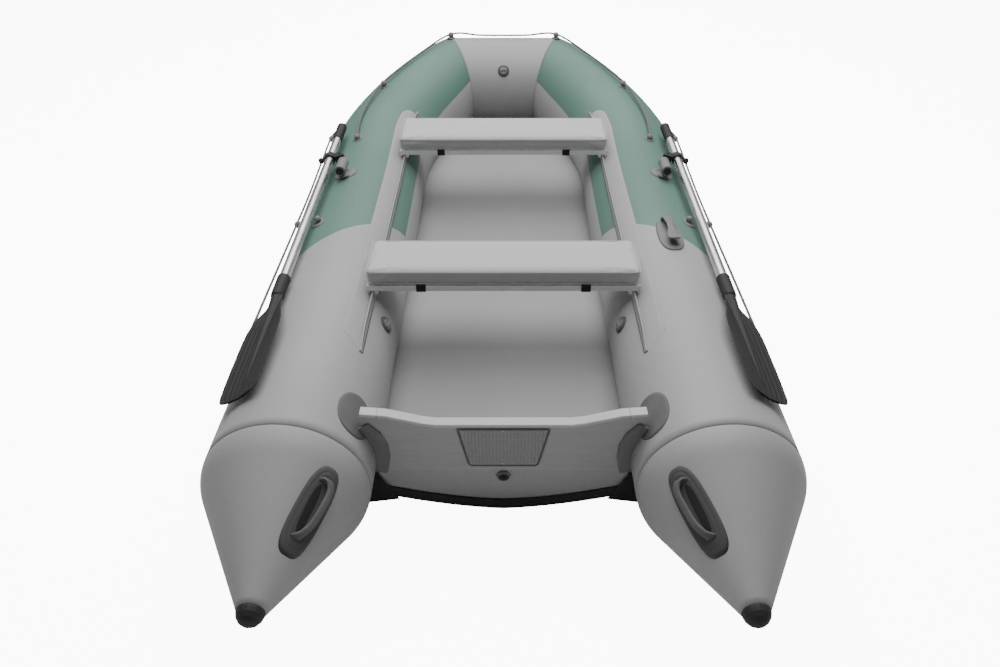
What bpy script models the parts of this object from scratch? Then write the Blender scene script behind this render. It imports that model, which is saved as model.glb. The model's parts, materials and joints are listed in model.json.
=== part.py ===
"""Inflatable transom tender with two bench seats and a pair of oars.

Metres, +Z up, +Y forward, +X starboard.  The origin is on the ground plane under the
middle of the hull.  Stations along the hull are counted forward from the cone tips.
"""
import math

import bmesh
import bpy
import numpy as np
from mathutils import Matrix, Vector

# Hull
LENGTH = 3.315          # cone caps to the front of the bow tube
BEAM = 1.58             # outside to outside of the side tubes
TUBE_R = 0.22           # side and bow tubes
WALL = 0.003            # coated fabric
GAP = 0.0003            # between faces that touch
SIDES = 32              # facets round a tube
CAP_DEPTH = 0.035       # end cap beyond the cone tip
CAP_PLUG = 0.030        # plug inside the cone tip
CONE_LEN = 0.383
TIP_R = 0.034
SHOULDER = 0.07         # round part of the cone beside the seam
QUARTER_LEN = 0.836     # curved bow quarter, along the boat
BOW_HALF = 0.238        # half length of the cross tube at the bow
BOW_TURN = 42.4         # degrees left for the cross tube to turn
BOW_REACH = 0.208       # how straight the quarter runs in to the mitre
BOW_RISE = 0.154
SHEER_LEN = 1.36        # length over which the bow rises
STRAKE_W = 0.05
STRAKE_T = 0.004

# Bottom and floor
SKIN_PHI = 129.375      # where the bottom meets the tube, degrees in from the top
V_DEPTH = 0.070
KEEL_FADE = 0.60        # length at the bow over which the vee runs out
KEEL_W = 0.05
KEEL_T = 0.006
FLOOR_TOP = 0.150
FLOOR_T = 0.055
FLOOR_ROUND = 0.014
FLOOR_RISE = 1.0        # share of the sheer that the floor follows
FLOOR_OVER = 0.001      # floor above the bottom's welded line, at the least

# Transom
TRANSOM_S = 0.5113      # aft face at the ground plane
TRANSOM_RAKE = 0.105    # aft lean per metre of height
BOARD_T = 0.026
BOARD_TOP = 0.354       # at the motor notch, cap left out
BOARD_SHOULDER = 0.038  # rise of the top edge outside the notch
NOTCH_HALF = 0.18
SHOULDER_HALF = 0.33
BOARD_HALF = 0.375
BOARD_OVER = 0.0096     # board's foot above the bottom's welded line
TRIM_T = 0.003          # wall of the channel on the top edge
TRIM_DROP = 0.010
PLATE_TOP_HALF = 0.125
PLATE_BOTTOM_HALF = 0.098
PLATE_H = 0.158
PLATE_T = 0.004
DRAIN_Z = 0.142
DRAIN_BORE_R = 0.011
DRAIN_WALL = 0.003
DRAIN_FLANGE_R = 0.0215
DRAIN_FLANGE_T = 0.004
BRACKET_W = 0.044
BRACKET_T = 0.005

# Seats and rails
RAIL_AFT = 0.757
RAIL_FORE = 0.223        # rail past the start of the bow quarter
RAIL_IN = 44.8          # bead side, degrees in from the top
RAIL_OUT = 26.0
RAIL_T = 0.0015
FIN_T = 0.0024
BEAD_RISE = 0.020
BEAD_R = 0.005
BEAD_GAP = 0.004        # plank above the bead
GROOVE_GAP = 0.003      # runner beside the bead
PLANK_T = 0.019
PLANK_DEPTH = 0.20
PLANK_OVER = 0.016      # plank past the bead
RUNNER_W = 0.010
RUNNER_D = 0.012
CUSHION_T = 0.050
CUSHION_ROUND = 0.012
STRAP_X = 0.26
STRAP_W = 0.03
STRAP_T = 0.0018
REAR_SEAT = 1.135
TURN_IN = 0.0006         # inward turn of the rails within the front bench's grooves

# Oars
LOCK_BACK = 0.409       # middle of the barrel behind the bow quarter
LOCK_X = 0.060          # barrel outboard of the tube's middle
LOCK_Z = 0.032          # barrel above the tube's top
BARREL_R = 0.021
BARREL_L = 0.09
PIN_R = 0.0085
PIN_CLEAR = 0.0005      # radial
LOCK_BASE_R = 0.045
SHAFT_R = 0.017
SHAFT_WALL = 0.0015
SHAFT_FIT = 0.0003      # radial, collar, grip and blade on the shaft
SHAFT_SHARE = 0.3687    # shaft length as a share of the hull's
OAR_X = 0.120           # shaft outboard of the tube's middle
OAR_Z = 0.0285          # shaft above the tube's top at the lock
OAR_SLOPE = 0.030
PIVOT_BACK = 0.0362     # swing pivot inboard of the shaft
PIVOT_LEAN = 15.0
PIVOT_AHEAD = 0.082     # swing pivot ahead of the barrel's middle
PIVOT_PIN_R = 0.004
BOSS_R = 0.0095
BOSS_H = 0.018
CHEEK_T = 0.005
COLLAR_WALL = 0.006
COLLAR_L = 0.030
TAP_IN = 0.0012         # tapped hole into the collar's wall
KNOB_R = 0.012
KNOB_L = 0.015
GRIP_WALL = 0.003
GRIP_L = 0.14
SOCKET_WALL = 0.004
SOCKET_L = 0.11
BLADE_L = 0.555
BLADE_HALF = 0.068
BLADE_T = 0.006
BLADE_ROLL = 30.0
POST_R = 0.009
CLEAT_BACK = 0.365      # stop behind the lock

# Fittings
VALVE_S = 0.977
VALVE_PHI = 64.0
VALVE_R = 0.0275
VALVE_T = 0.005
VALVE_CAP_R = 0.018
HANDLE_AFT = 0.143
HANDLE_FORE = 0.276
HANDLE_PHI_AFT = 46.5
HANDLE_PHI_FORE = 48.5
HANDLE_END_R = 0.035
HANDLE_ARCH = 0.030
HANDLE_BASE_T = 0.004
HOOK_BACK = 0.889       # anchor hook behind the bow quarter
HOOK_PHI = 0.5
ROPE_R = 0.004
LINE_AFT = 0.738        # aft holder of the side lifeline
HOLDER_R = 0.020        # flange of a rope holder
HOLDER_HEAD = 0.0125
HOLDER_H = 0.028
SWEEP_DROP = 0.006      # lower bow holder where the oar grips pass over it
ROPE_LIFT = 0.0205      # rope's middle above the tube at a holder

# Everything below is worked out from the sizes above
MID = LENGTH / 2 - CAP_DEPTH
HALF = BEAM / 2 - TUBE_R
BOW_S = LENGTH - CAP_DEPTH - TUBE_R
QUARTER_S = BOW_S - QUARTER_LEN
SHEER_S = BOW_S - SHEER_LEN
WELD_Z = TUBE_R * (1 + math.cos(math.radians(SKIN_PHI)))
BOARD_CORNER = WELD_Z + BOARD_OVER
BOARD_BOTTOM = BOARD_CORNER - V_DEPTH
RAIL_LEN = QUARTER_S + RAIL_FORE - RAIL_AFT
LOCK_S = QUARTER_S - LOCK_BACK
CLEAT_S = LOCK_S - CLEAT_BACK
HOOK_S = QUARTER_S - HOOK_BACK
SHAFT_LEN = SHAFT_SHARE * LENGTH
COLLAR_R = SHAFT_R + COLLAR_WALL
GRIP_R = SHAFT_R + GRIP_WALL
SOCKET_R = SHAFT_R + SOCKET_WALL
BEAD_X = HALF - TUBE_R * math.sin(math.radians(RAIL_IN))
BEAD_Z = TUBE_R * (1 + math.cos(math.radians(RAIL_IN))) + BEAD_RISE
TURN_ROOM = HALF - BOW_HALF - BOW_REACH * math.cos(math.radians(BOW_TURN))
TURN_S = QUARTER_S + 1.14 * QUARTER_LEN * math.sqrt(TURN_IN / (3 * max(TURN_ROOM, 0.02)))
FRONT_SEAT = TURN_S - PLANK_DEPTH / 2
GREEN = (0.235, 0.333, 0.292)
GREY = (0.365, 0.360, 0.362)
DARK = (0.075, 0.073, 0.075)
BLACK = (0.012, 0.012, 0.013)
UP = Vector((0.0, 0.0, 1.0))

PARTS = None
CUTTERS = None


# ---------------------------------------------------------------- helpers
def material(name, colour, roughness, metallic=0.0):
    """One Principled material."""
    mat = bpy.data.materials.new(name)
    mat.use_nodes = True
    shader = mat.node_tree.nodes["Principled BSDF"]
    shader.inputs["Base Color"].default_value = (*colour, 1.0)
    shader.inputs["Roughness"].default_value = roughness
    shader.inputs["Metallic"].default_value = metallic
    mat.diffuse_color = (*colour, 1.0)
    return mat


def add(name, mesh, look, parent=None, cutter=False):
    """Object in its collection, with its own material."""
    obj = bpy.data.objects.new(name, mesh)
    if cutter:
        CUTTERS.objects.link(obj)
        obj.hide_render = True
        obj.display_type = "WIRE"
    else:
        PARTS.objects.link(obj)
        mesh.materials.clear()
        mesh.materials.append(material(name, *look))
        mesh.shade_smooth()
        mesh.set_sharp_from_angle(angle=math.radians(32))
    obj.parent = parent
    return obj


def mesh_of(bm, name):
    """Closed mesh with its faces pointing out."""
    bmesh.ops.recalc_face_normals(bm, faces=bm.faces)
    mesh = bpy.data.meshes.new(name)
    bm.to_mesh(mesh)
    bm.free()
    return mesh


def loft(name, rings, closed=False, origin=(0, 0, 0)):
    """Skin over rings of equal count; closed joins the last ring to the first."""
    bm = bmesh.new()
    base = Vector(origin)
    rows = [[bm.verts.new(Vector(p) - base) for p in ring] for ring in rings]
    count = len(rows[0])
    pairs = list(zip(rows, rows[1:]))
    if closed:
        pairs.append((rows[-1], rows[0]))
    for low, high in pairs:
        for j in range(count):
            k = (j + 1) % count
            bm.faces.new((low[j], low[k], high[k], high[j]))
    if not closed:
        bm.faces.new(rows[0])
        bm.faces.new(rows[-1])
    return mesh_of(bm, name)


def prism(name, outline, low, high, shape):
    """Flat outline carried from low to high; shape places (u, v, w) in space."""
    rings = [[shape(u, v, w) for u, v in outline] for w in (low, high)]
    return loft(name, rings)


def turned(name, profile, look, frame, steps=24, cutter=False):
    """Profile of (radius, height) turned about the frame's Z axis."""
    mesh = bpy.data.meshes.new(name)
    points = [(r, 0.0, z) for r, z in profile]
    mesh.from_pydata(points, [(i, i + 1) for i in range(len(points) - 1)], [])
    obj = add(name, mesh, look, cutter=cutter)
    screw = obj.modifiers.new("turn", "SCREW")
    screw.axis = "Z"
    screw.steps = steps
    screw.render_steps = steps
    screw.use_merge_vertices = True
    screw.merge_threshold = 1e-5
    screw.use_smooth_shade = False
    obj.matrix_world = frame
    return settle(obj)


def settle(obj):
    """Object with its modifiers applied, in place."""
    bpy.context.view_layer.update()
    graph = bpy.context.evaluated_depsgraph_get()
    mesh = bpy.data.meshes.new_from_object(obj.evaluated_get(graph))
    mesh.name = obj.name
    obj.modifiers.clear()
    obj.data = mesh
    mesh.shade_smooth()
    mesh.set_sharp_from_angle(angle=math.radians(32))
    return obj


def join(obj, others):
    """Boolean union of the others into obj; the others are removed."""
    for other in others:
        union = obj.modifiers.new("join", "BOOLEAN")
        union.operation = "UNION"
        union.object = other
        settle(obj)
        bpy.data.objects.remove(other)
    return obj


def cut(obj, cutters):
    """Boolean difference; the cutters stay in their own collection."""
    for cutter in cutters:
        bore = obj.modifiers.new("cut", "BOOLEAN")
        bore.operation = "DIFFERENCE"
        bore.object = cutter
    return settle(obj)


def mirrored(obj, name, parent=None):
    """Port copy of a starboard piece, as its own object."""
    bpy.context.view_layer.update()
    bm = bmesh.new()
    bm.from_mesh(obj.data)
    world = obj.matrix_world.copy()
    bm.transform(world)
    bm.transform(Matrix.Diagonal((-1.0, 1.0, 1.0, 1.0)))
    bmesh.ops.reverse_faces(bm, faces=bm.faces)
    spot = world.translation.copy()
    spot.x = -spot.x
    bm.transform(Matrix.Translation(-spot))
    mesh = bpy.data.meshes.new(name)
    bm.to_mesh(mesh)
    bm.free()
    shader = obj.data.materials[0].node_tree.nodes["Principled BSDF"]
    colour = tuple(shader.inputs["Base Color"].default_value)[:3]
    rough = shader.inputs["Roughness"].default_value
    metal = shader.inputs["Metallic"].default_value
    copy = add(name, mesh, (colour, rough, metal))
    copy.location = spot
    if parent is not None:
        bpy.context.view_layer.update()
        copy.parent = parent
        copy.matrix_parent_inverse = parent.matrix_world.inverted()
    return copy


def both(obj):
    """Adds the port twin of a starboard piece named starboard_..."""
    return mirrored(obj, obj.name.replace("starboard_", "port_"))


def at(x, s, z):
    """Point from a station counted forward of the cone tips."""
    return Vector((x, s - MID, z))


def frame_at(point, z_axis, x_hint=(1.0, 0.0, 0.0)):
    """Placement with its Z along z_axis and its X near x_hint."""
    z = Vector(z_axis).normalized()
    y = z.cross(Vector(x_hint)).normalized()
    x = y.cross(z)
    rot = Matrix((x, y, z)).transposed().to_4x4()
    return Matrix.Translation(Vector(point)) @ rot


def disc(radius, low, high):
    """Profile of a solid cylinder, from its top down."""
    return [(0.0, high), (radius, high), (radius, low), (0.0, low)]


def domed(radius, low, high, edge):
    """Profile of a cylinder whose top edge is rounded."""
    arc = [math.radians(a) for a in (0, 45, 90)]
    rim = [(radius - edge + edge * math.sin(a), high - edge + edge * math.cos(a)) for a in arc]
    return [(0.0, high)] + rim + [(radius, low), (0.0, low)]


# ---------------------------------------------------------------- hull line
def sheer(s):
    """Height of the tubes' middle at a station."""
    t = max(0.0, (s - SHEER_S) / SHEER_LEN)
    return TUBE_R + BOW_RISE * t * t


def quarter_plan(t):
    """Plan of the bow quarter, t from 0 to 1: place and direction."""
    turn = math.radians(BOW_TURN)
    p = [(HALF, QUARTER_S), (HALF, QUARTER_S + 0.38 * QUARTER_LEN)]
    p += [(BOW_HALF + BOW_REACH * math.cos(turn), BOW_S - BOW_REACH * math.sin(turn))]
    p += [(BOW_HALF, BOW_S)]
    pts = [Vector(q) for q in p]
    u = 1.0 - t
    spot = u**3 * pts[0] + 3 * u * u * t * pts[1] + 3 * u * t * t * pts[2] + t**3 * pts[3]
    way = u * u * (pts[1] - pts[0]) + 2 * u * t * (pts[2] - pts[1]) + t * t * (pts[3] - pts[2])
    return spot, way.normalized()


def line(p):
    """Tube's middle and direction at path station p (straight, then the quarter)."""
    if p <= QUARTER_S:
        spot, way = Vector((HALF, p)), Vector((0.0, 1.0))
    else:
        spot, way = quarter_plan((p - QUARTER_S) / QUARTER_LEN)
    rise = (sheer(spot.y + 1e-4) - sheer(spot.y - 1e-4)) / 2e-4
    tangent = Vector((way.x, way.y, rise * way.y)).normalized()
    return at(spot.x, spot.y, sheer(spot.y)), tangent


def axes(tangent):
    """Outboard and upward directions across a tube."""
    side = tangent.cross(UP).normalized()
    return side, side.cross(tangent)


def ring(centre, tangent, radius, plane=None, shift=0.0):
    """Points round a tube from the top towards outboard, slid onto an end plane."""
    side, up = axes(tangent)
    points = []
    for j in range(SIDES):
        a = 2 * math.pi * j / SIDES
        q = radius * (math.sin(a) * side + math.cos(a) * up)
        if plane is not None:
            q -= tangent * (q.dot(plane) / tangent.dot(plane))
            q += tangent * (shift / tangent.dot(plane))
        points.append(centre + q)
    return points


def ring_plane(p):
    """Normal of the plane a tube ring lies on, turning to the mitre over the last rings."""
    tangent = line(p)[1]
    turn = 3 * QUARTER_LEN / 8
    share = (p - BOW_S + turn) / turn
    if share < 1e-6:
        return tangent
    return tangent.lerp(bow_mitre(), min(1.0, share)).normalized()


def path_stations():
    """Path stations of the tube's facets, cone seam to bow."""
    straight = [CONE_LEN + (SHEER_S - CONE_LEN) * i / 2 for i in range(2)]
    rising = [SHEER_S + (QUARTER_S - SHEER_S) * i / 3 for i in range(4)]
    curved = [QUARTER_S + QUARTER_LEN * i / 8 for i in range(1, 9)]
    return straight + rising + curved


def facet_point(p, phi, lift=0.0):
    """Point on the faceted tube at path station p, phi degrees outboard of the top."""
    stations = path_stations()
    k = 0
    while k < len(stations) - 2 and stations[k + 1] < p:
        k += 1
    t = (p - stations[k]) / (stations[k + 1] - stations[k])
    step = 2 * math.pi / SIDES
    a = math.radians(phi)
    half = step / 2
    radius = TUBE_R * math.cos(half) / math.cos(a % step - half) + lift
    spots = []
    for station in (stations[k], stations[k + 1]):
        c, tangent = line(station)
        side, up = axes(tangent)
        plane = ring_plane(station)
        q = radius * (math.sin(a) * side + math.cos(a) * up)
        spots.append(c + q - tangent * (q.dot(plane) / tangent.dot(plane)))
    return spots[0].lerp(spots[1], t)


def outward(p, phi):
    """Direction out of the tube at path station p and angle phi."""
    side, up = axes(line(p)[1])
    a = math.radians(phi)
    return (math.sin(a) * side + math.cos(a) * up).normalized()


def hug(low, high):
    """Angles from low to high with every facet corner between them."""
    step = 360.0 / SIDES
    inner = [k * step for k in range(math.ceil(low / step), math.floor(high / step) + 1)]
    angles = [low] + [a for a in inner if low + 0.4 < a < high - 0.4] + [high]
    return angles


def hull_stations(low, high):
    """Path stations from low to high with every facet corner between them."""
    inner = [p for p in path_stations() if low + 0.004 < p < high - 0.004]
    return [low] + inner + [high]


# ---------------------------------------------------------------- hull
def shell(name, sections, look):
    """Open fabric tube: outer skin forward, inner skin back, ends closed by the wall."""
    outer = [ring(c, t, r, plane, shift) for c, t, r, plane, shift in sections]
    inner = [ring(c, t, r - WALL, plane, shift) for c, t, r, plane, shift in sections[::-1]]
    middle = sections[0][0]
    obj = add(name, loft(name, outer + inner, closed=True, origin=middle), look)
    obj.location = middle
    return obj


def side_tubes():
    """Straight main tubes, from the cone seam to the bow quarters."""
    sections = []
    for p in [q for q in path_stations() if q <= QUARTER_S + 1e-6]:
        c, t = line(p)
        shift = GAP / 2 if p < CONE_LEN + 1e-6 else 0.0
        shift = -GAP / 2 if p > QUARTER_S - 1e-6 else shift
        sections.append((c, t, TUBE_R, t, shift))
    both(shell("starboard_side_tube", sections, (GREY, 0.62)))


def bow_mitre():
    """Normal of the plane between the bow quarter and the cross tube."""
    c, t = line(QUARTER_S + QUARTER_LEN)
    return (t + Vector((-1.0, 0.0, 0.0))).normalized()


def bow_quarters():
    """Curved tubes that turn in to the bow."""
    sections = []
    for p in [q for q in path_stations() if q >= QUARTER_S - 1e-6]:
        c, t = line(p)
        first = p < QUARTER_S + 1e-6
        last = p > QUARTER_S + QUARTER_LEN - 1e-6
        plane = ring_plane(p)
        shift = GAP / 2 if first else (-GAP / 2 if last else 0.0)
        sections.append((c, t, TUBE_R, plane, shift))
    both(shell("starboard_bow_quarter", sections, (GREEN, 0.62)))


def bow_tube():
    """Straight cross tube, mitred at both ends."""
    way = Vector((-1.0, 0.0, 0.0))
    plane = bow_mitre()
    twin = Vector((plane.x, -plane.y, -plane.z))
    c = at(BOW_HALF, BOW_S, sheer(BOW_S))
    d = at(-BOW_HALF, BOW_S, sheer(BOW_S))
    sections = [(c, way, TUBE_R, plane, GAP / 2)]
    sections += [(c.lerp(d, 0.5), way, TUBE_R, way, 0.0)]
    sections += [(d, way, TUBE_R, twin, -GAP / 2)]
    shell("bow_tube", sections, (GREY, 0.62))


def cone_radius(s):
    """Radius of the stern cone: straight, with a round shoulder at the seam."""
    slope = (TUBE_R - TIP_R) / (CONE_LEN - SHOULDER / 2)
    if s < CONE_LEN - SHOULDER:
        return TIP_R + slope * s
    return TUBE_R - slope * (CONE_LEN - s) ** 2 / (2 * SHOULDER)


def stern_cones():
    """Tapered tube ends behind the transom, each closed by a black cap."""
    knee = CONE_LEN - SHOULDER
    stops = [0.0, knee * 0.5, knee]
    stops += [knee + SHOULDER * k / 3 for k in (1, 2, 3)]
    way = Vector((0.0, 1.0, 0.0))
    sections = []
    for s in stops:
        shift = -GAP / 2 if s > CONE_LEN - 1e-6 else 0.0
        sections.append((at(HALF, s, TUBE_R), way, cone_radius(s), way, shift))
    both(shell("starboard_stern_cone", sections, (GREY, 0.62)))
    plug = TIP_R - WALL - GAP
    profile = [(0.0, CAP_DEPTH)]
    for a in (25, 45, 65, 82):
        b = math.radians(a)
        profile.append((TIP_R * math.sin(b), GAP + (CAP_DEPTH - GAP) * math.cos(b)))
    profile += [(TIP_R, GAP), (plug, GAP), (plug, -CAP_PLUG), (0.0, -CAP_PLUG)]
    place = frame_at(at(HALF, 0.0, TUBE_R), (0.0, -1.0, 0.0))
    both(turned("starboard_cone_cap", profile, (BLACK, 0.45), place, steps=20))


def strakes():
    """Rubbing strakes with two ribs along the outer sides."""
    half = math.degrees(STRAKE_W / 2 / TUBE_R)
    stops = hull_stations(CONE_LEN + 0.012, QUARTER_S + QUARTER_LEN * 0.93)
    rings = []
    for p in stops:
        inner = [facet_point(p, a, GAP) for a in hug(90 - half, 90 + half)]
        tops = [(half, 0.6), (half * 0.6, 1.3), (half * 0.25, 0.7)]
        tops += [(-half * 0.25, 0.7), (-half * 0.6, 1.3), (-half, 0.6)]
        outer = [facet_point(p, 90 + a, STRAKE_T * k) for a, k in tops]
        rings.append(inner + outer)
    name = "starboard_rub_strake"
    both(add(name, loft(name, rings), (DARK, 0.7)))


# ---------------------------------------------------------------- bottom and floor
def contact_line():
    """Inboard under-side line of the tube where the bottom is welded."""
    stops = hull_stations(TRANSOM_S + 0.02, QUARTER_S + QUARTER_LEN * 0.97)
    spots = [facet_point(p, -SKIN_PHI, 0.0005) for p in stops]
    front = BOW_S - TUBE_R * math.sin(math.radians(180 - SKIN_PHI))
    inside = [q for q in spots if q.y + MID < front - 0.012]
    return inside, front


def keel_drop(s):
    """Depth of the vee at a station, fading to nothing at the bow."""
    t = min(1.0, max(0.0, (s - BOW_S + TUBE_R + KEEL_FADE) / KEEL_FADE))
    return V_DEPTH * (1.0 - t * t * (3.0 - 2.0 * t))


def bottom_rows():
    """Rows of the bottom's upper face, transom to bow, port to starboard."""
    inside, front = contact_line()
    last = inside[-1]
    rows = []
    for q in inside:
        s = q.y + MID
        shares = [-1.0 + 2.0 * k / 10 for k in range(11)]
        rows.append([Vector((q.x * k, q.y, q.z - keel_drop(s) * (1 - k * k))) for k in shares])
    return rows


def bottom():
    """Bottom skin between the tubes and the keel strip under it."""
    rows = bottom_rows()
    rings = []
    for row in rows:
        under = [q - Vector((0, 0, WALL)) for q in row]
        rings.append(row + under[::-1])
    add("bottom_skin", loft("bottom_skin", rings), (GREY, 0.7))
    strip = []
    for row in rows:
        mid = row[5] - Vector((0, 0, WALL + GAP))
        share = KEEL_W / 2 / row[10].x
        lift = keel_drop(row[0].y + MID) * share * share
        edge = mid + Vector((0, 0, max(lift, 0.0)))
        top = [edge + Vector((-KEEL_W / 2, 0, -lift)), mid, edge + Vector((KEEL_W / 2, 0, -lift))]
        low = [q - Vector((0, 0, KEEL_T)) for q in top]
        strip.append(top + [low[2] + Vector((-0.01, 0, 0)), low[0] + Vector((0.01, 0, 0))])
    add("keel_strip", loft("keel_strip", strip), (BLACK, 0.6))


def floor_edge(s, height):
    """Half width between the tubes at a station and height."""
    best = None
    stops = [CONE_LEN + (QUARTER_S + QUARTER_LEN - CONE_LEN) * k / 160 for k in range(161)]
    for p in stops:
        down = min(0.999, max(-0.999, (line(p)[0].z - height) / TUBE_R))
        spot = facet_point(p, -90.0 - math.degrees(math.asin(down)))
        off = abs(spot.y + MID - s)
        if best is None or off < best[0]:
            best = (off, spot.x)
    return best[1]


def bottom_height(s):
    """Highest point of the bottom skin at a station, on the welded line."""
    spots = contact_line()[0]
    for q, r in zip(spots, spots[1:]):
        if q.y + MID <= s <= r.y + MID:
            return q.z + (r.z - q.z) * (s - q.y - MID) / (r.y - q.y)
    return spots[0].z if s < spots[0].y + MID else spots[-1].z


def air_floor():
    """Inflated floor mat: flat top, round edges, rounded front."""
    start = transom_aft(FLOOR_TOP - FLOOR_T) + BOARD_T + 0.005
    nose = BOW_S - TUBE_R - 0.02
    stops = [start, start + 0.02, SHEER_S, SHEER_S + 0.26, QUARTER_S]
    stops += [QUARTER_S + (nose - QUARTER_S) * k for k in (0.2, 0.4, 0.6, 0.75, 0.88, 0.97, 1.0)]
    rings = []
    for i, s in enumerate(stops):
        rise = FLOOR_RISE * (sheer(s) - TUBE_R)
        rise = max(rise, bottom_height(s) + FLOOR_OVER - FLOOR_TOP + FLOOR_T)
        top = FLOOR_TOP + rise
        low = top - FLOOR_T
        wide = floor_edge(s, top) - 0.0035
        deep = floor_edge(s, low + 0.6 * FLOOR_T) - 0.003
        pull = (0.012, 0.0, 0, 0, 0, 0, 0, 0, 0, 0.01, 0.04, 0.075)[i]
        thin = (0.008, 0.0, 0, 0, 0, 0, 0, 0, 0, 0.0, 0.006, 0.016)[i]
        a = wide - pull - FLOOR_ROUND
        b = wide - pull - 0.002
        c = deep - pull
        half = [(a, top - thin), (b, top - thin - 0.005), (c, top - FLOOR_T * 0.40)]
        half += [(c - 0.002, low + FLOOR_T * 0.3 + thin), (c - 0.022, low + thin)]
        right = [at(x, s, z) for x, z in half]
        left = [at(-x, s, z) for x, z in half[::-1]]
        rings.append([at(0, s, top - thin)] + right + [at(0, s, low + thin)] + left)
    add("air_floor", loft("air_floor", rings), (GREY, 0.6))


# ---------------------------------------------------------------- transom
def transom_aft(z):
    """Station of the transom's aft face at a height."""
    return TRANSOM_S - TRANSOM_RAKE * z


def on_board(x, z, out):
    """Point at a height on the transom, out metres aft of its aft face."""
    return at(x, transom_aft(z) - out, z)


def tube_inside(z):
    """Half width between the side tubes at a height."""
    d = min(0.999, abs(z - TUBE_R) / TUBE_R)
    return HALF - TUBE_R * math.sqrt(1 - d * d)


def board_side():
    """Half width of the transom at its narrowest, between the tubes."""
    return HALF - TUBE_R - 0.0008


def board_half():
    """Half width of the transom's top, on the tubes' shoulders."""
    return HALF - TUBE_R + (BOARD_HALF - 0.35)


def top_edge(lift):
    """Top edge of the transom, port to starboard, raised by lift."""
    end = board_half()
    shoulder = end - (BOARD_HALF - SHOULDER_HALF)
    notch = NOTCH_HALF
    high = BOARD_TOP + BOARD_SHOULDER
    half = [(notch, BOARD_TOP + lift), (notch + 0.035, BOARD_TOP + 0.006 + lift)]
    half += [(shoulder - 0.02, high - 0.003 + lift), (end, high + 0.004 + lift)]
    return [(-x, z) for x, z in half[::-1]] + half


def transom_board():
    """Raked plywood board between the tubes, with the drain's bore."""
    side = board_side()
    end = board_half()
    half = [(0.0, BOARD_BOTTOM)]
    for k in (0.35, 0.7, 1.0):
        half.append((side * k, BOARD_BOTTOM + (BOARD_CORNER - BOARD_BOTTOM) * k**1.7))
    half.append((side, TUBE_R))
    for z in (0.245, 0.270, 0.295):
        lean = z * TUBE_R / 0.22
        half.append((tube_inside(lean) - 0.0008, lean))
    ledge = TUBE_R + math.sqrt(TUBE_R**2 - (HALF - end) ** 2)
    half.append((end, ledge + 0.001))
    top = top_edge(-TRIM_T - GAP)
    right = half[1:] + [q for q in top[::-1] if q[0] > 0]
    left = [(-x, z) for x, z in right[::-1]]
    outline = [half[0]] + right + left
    mesh = prism("transom_board", outline, -BOARD_T, 0.0, on_board)
    board = add("transom_board", mesh, (GREY, 0.6))
    reach = DRAIN_BORE_R + DRAIN_WALL + GAP
    place = drain_frame()
    bore = turned("drain_bore", disc(reach, -0.08, 0.05), None, place, steps=24, cutter=True)
    cut(board, [bore])


def transom_cap():
    """Channel over the transom's top edge."""
    rings = []
    for x, z in top_edge(0.0):
        wide = BOARD_T + TRIM_T + GAP
        out = TRIM_T + GAP
        low = z - TRIM_DROP
        under = z - TRIM_T
        section = [(out, low), (out, z - 0.002), (out - 0.002, z), (-wide + 0.002, z)]
        section += [(-wide, z - 0.002), (-wide, low), (-BOARD_T - GAP, low)]
        section += [(-BOARD_T - GAP, under), (GAP, under), (GAP, low)]
        rings.append([on_board(x, h, d) for d, h in section])
    add("transom_cap", loft("transom_cap", rings), (((0.45, 0.45, 0.45)), 0.5))


def motor_plate():
    """Ribbed pad that the outboard's clamps press on, under the cap."""
    top = BOARD_TOP - TRIM_DROP - 0.002
    low = top - PLATE_H
    r = 0.008
    half = [(PLATE_TOP_HALF - r, top), (PLATE_TOP_HALF, top - r)]
    half += [(PLATE_BOTTOM_HALF, low + r), (PLATE_BOTTOM_HALF - r, low)]
    outline = half + [(-x, z) for x, z in half[::-1]]
    mesh = prism("transom_plate", outline, GAP, GAP + PLATE_T, on_board)
    add("transom_plate", mesh, ((0.145, 0.140, 0.142), 0.7))


def drain_frame():
    """Axis of the drain, pointing aft out of the board's face."""
    aft = Vector((0.0, -1.0, -TRANSOM_RAKE))
    return frame_at(on_board(0.0, DRAIN_Z, 0.0), aft)


def drain():
    """Flanged drain bush through the transom and its turning plug."""
    r = DRAIN_BORE_R
    w = r + DRAIN_WALL
    f = GAP + DRAIN_FLANGE_T
    deep = -BOARD_T - 0.001
    profile = [(r, f), (DRAIN_FLANGE_R - 0.001, f), (DRAIN_FLANGE_R, f - 0.001)]
    profile += [(DRAIN_FLANGE_R, GAP), (w, GAP), (w, deep), (r, deep), (r, f)]
    turned("drain_socket", profile, ((0.2, 0.2, 0.2), 0.4), drain_frame(), steps=20)
    p = r - 0.0005
    rim = DRAIN_FLANGE_R - 0.005
    out = f + 0.0005
    plug = [(0.0, out + 0.003), (0.006, out + 0.003), (0.008, out + 0.0045)]
    plug += [(rim - 0.001, out + 0.0045), (rim, out + 0.003), (rim, out)]
    plug += [(p, out), (p, -0.015), (0.0, -0.015)]
    body = turned("drain_plug", plug, (BLACK, 0.4), drain_frame(), steps=16)
    bar = box("drain_bar", (0.016, 0.004, 0.004), (BLACK, 0.4), (0, 0, out + 0.0042))
    bar.matrix_world = drain_frame() @ bar.matrix_world
    join(body, [bar])


def box(name, size, look, centre=(0, 0, 0)):
    """Plain box about a centre."""
    bm = bmesh.new()
    bmesh.ops.create_cube(bm, size=1.0)
    bmesh.ops.scale(bm, vec=size, verts=bm.verts)
    obj = add(name, mesh_of(bm, name), look)
    obj.location = centre
    bpy.context.view_layer.update()
    return obj


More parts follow.
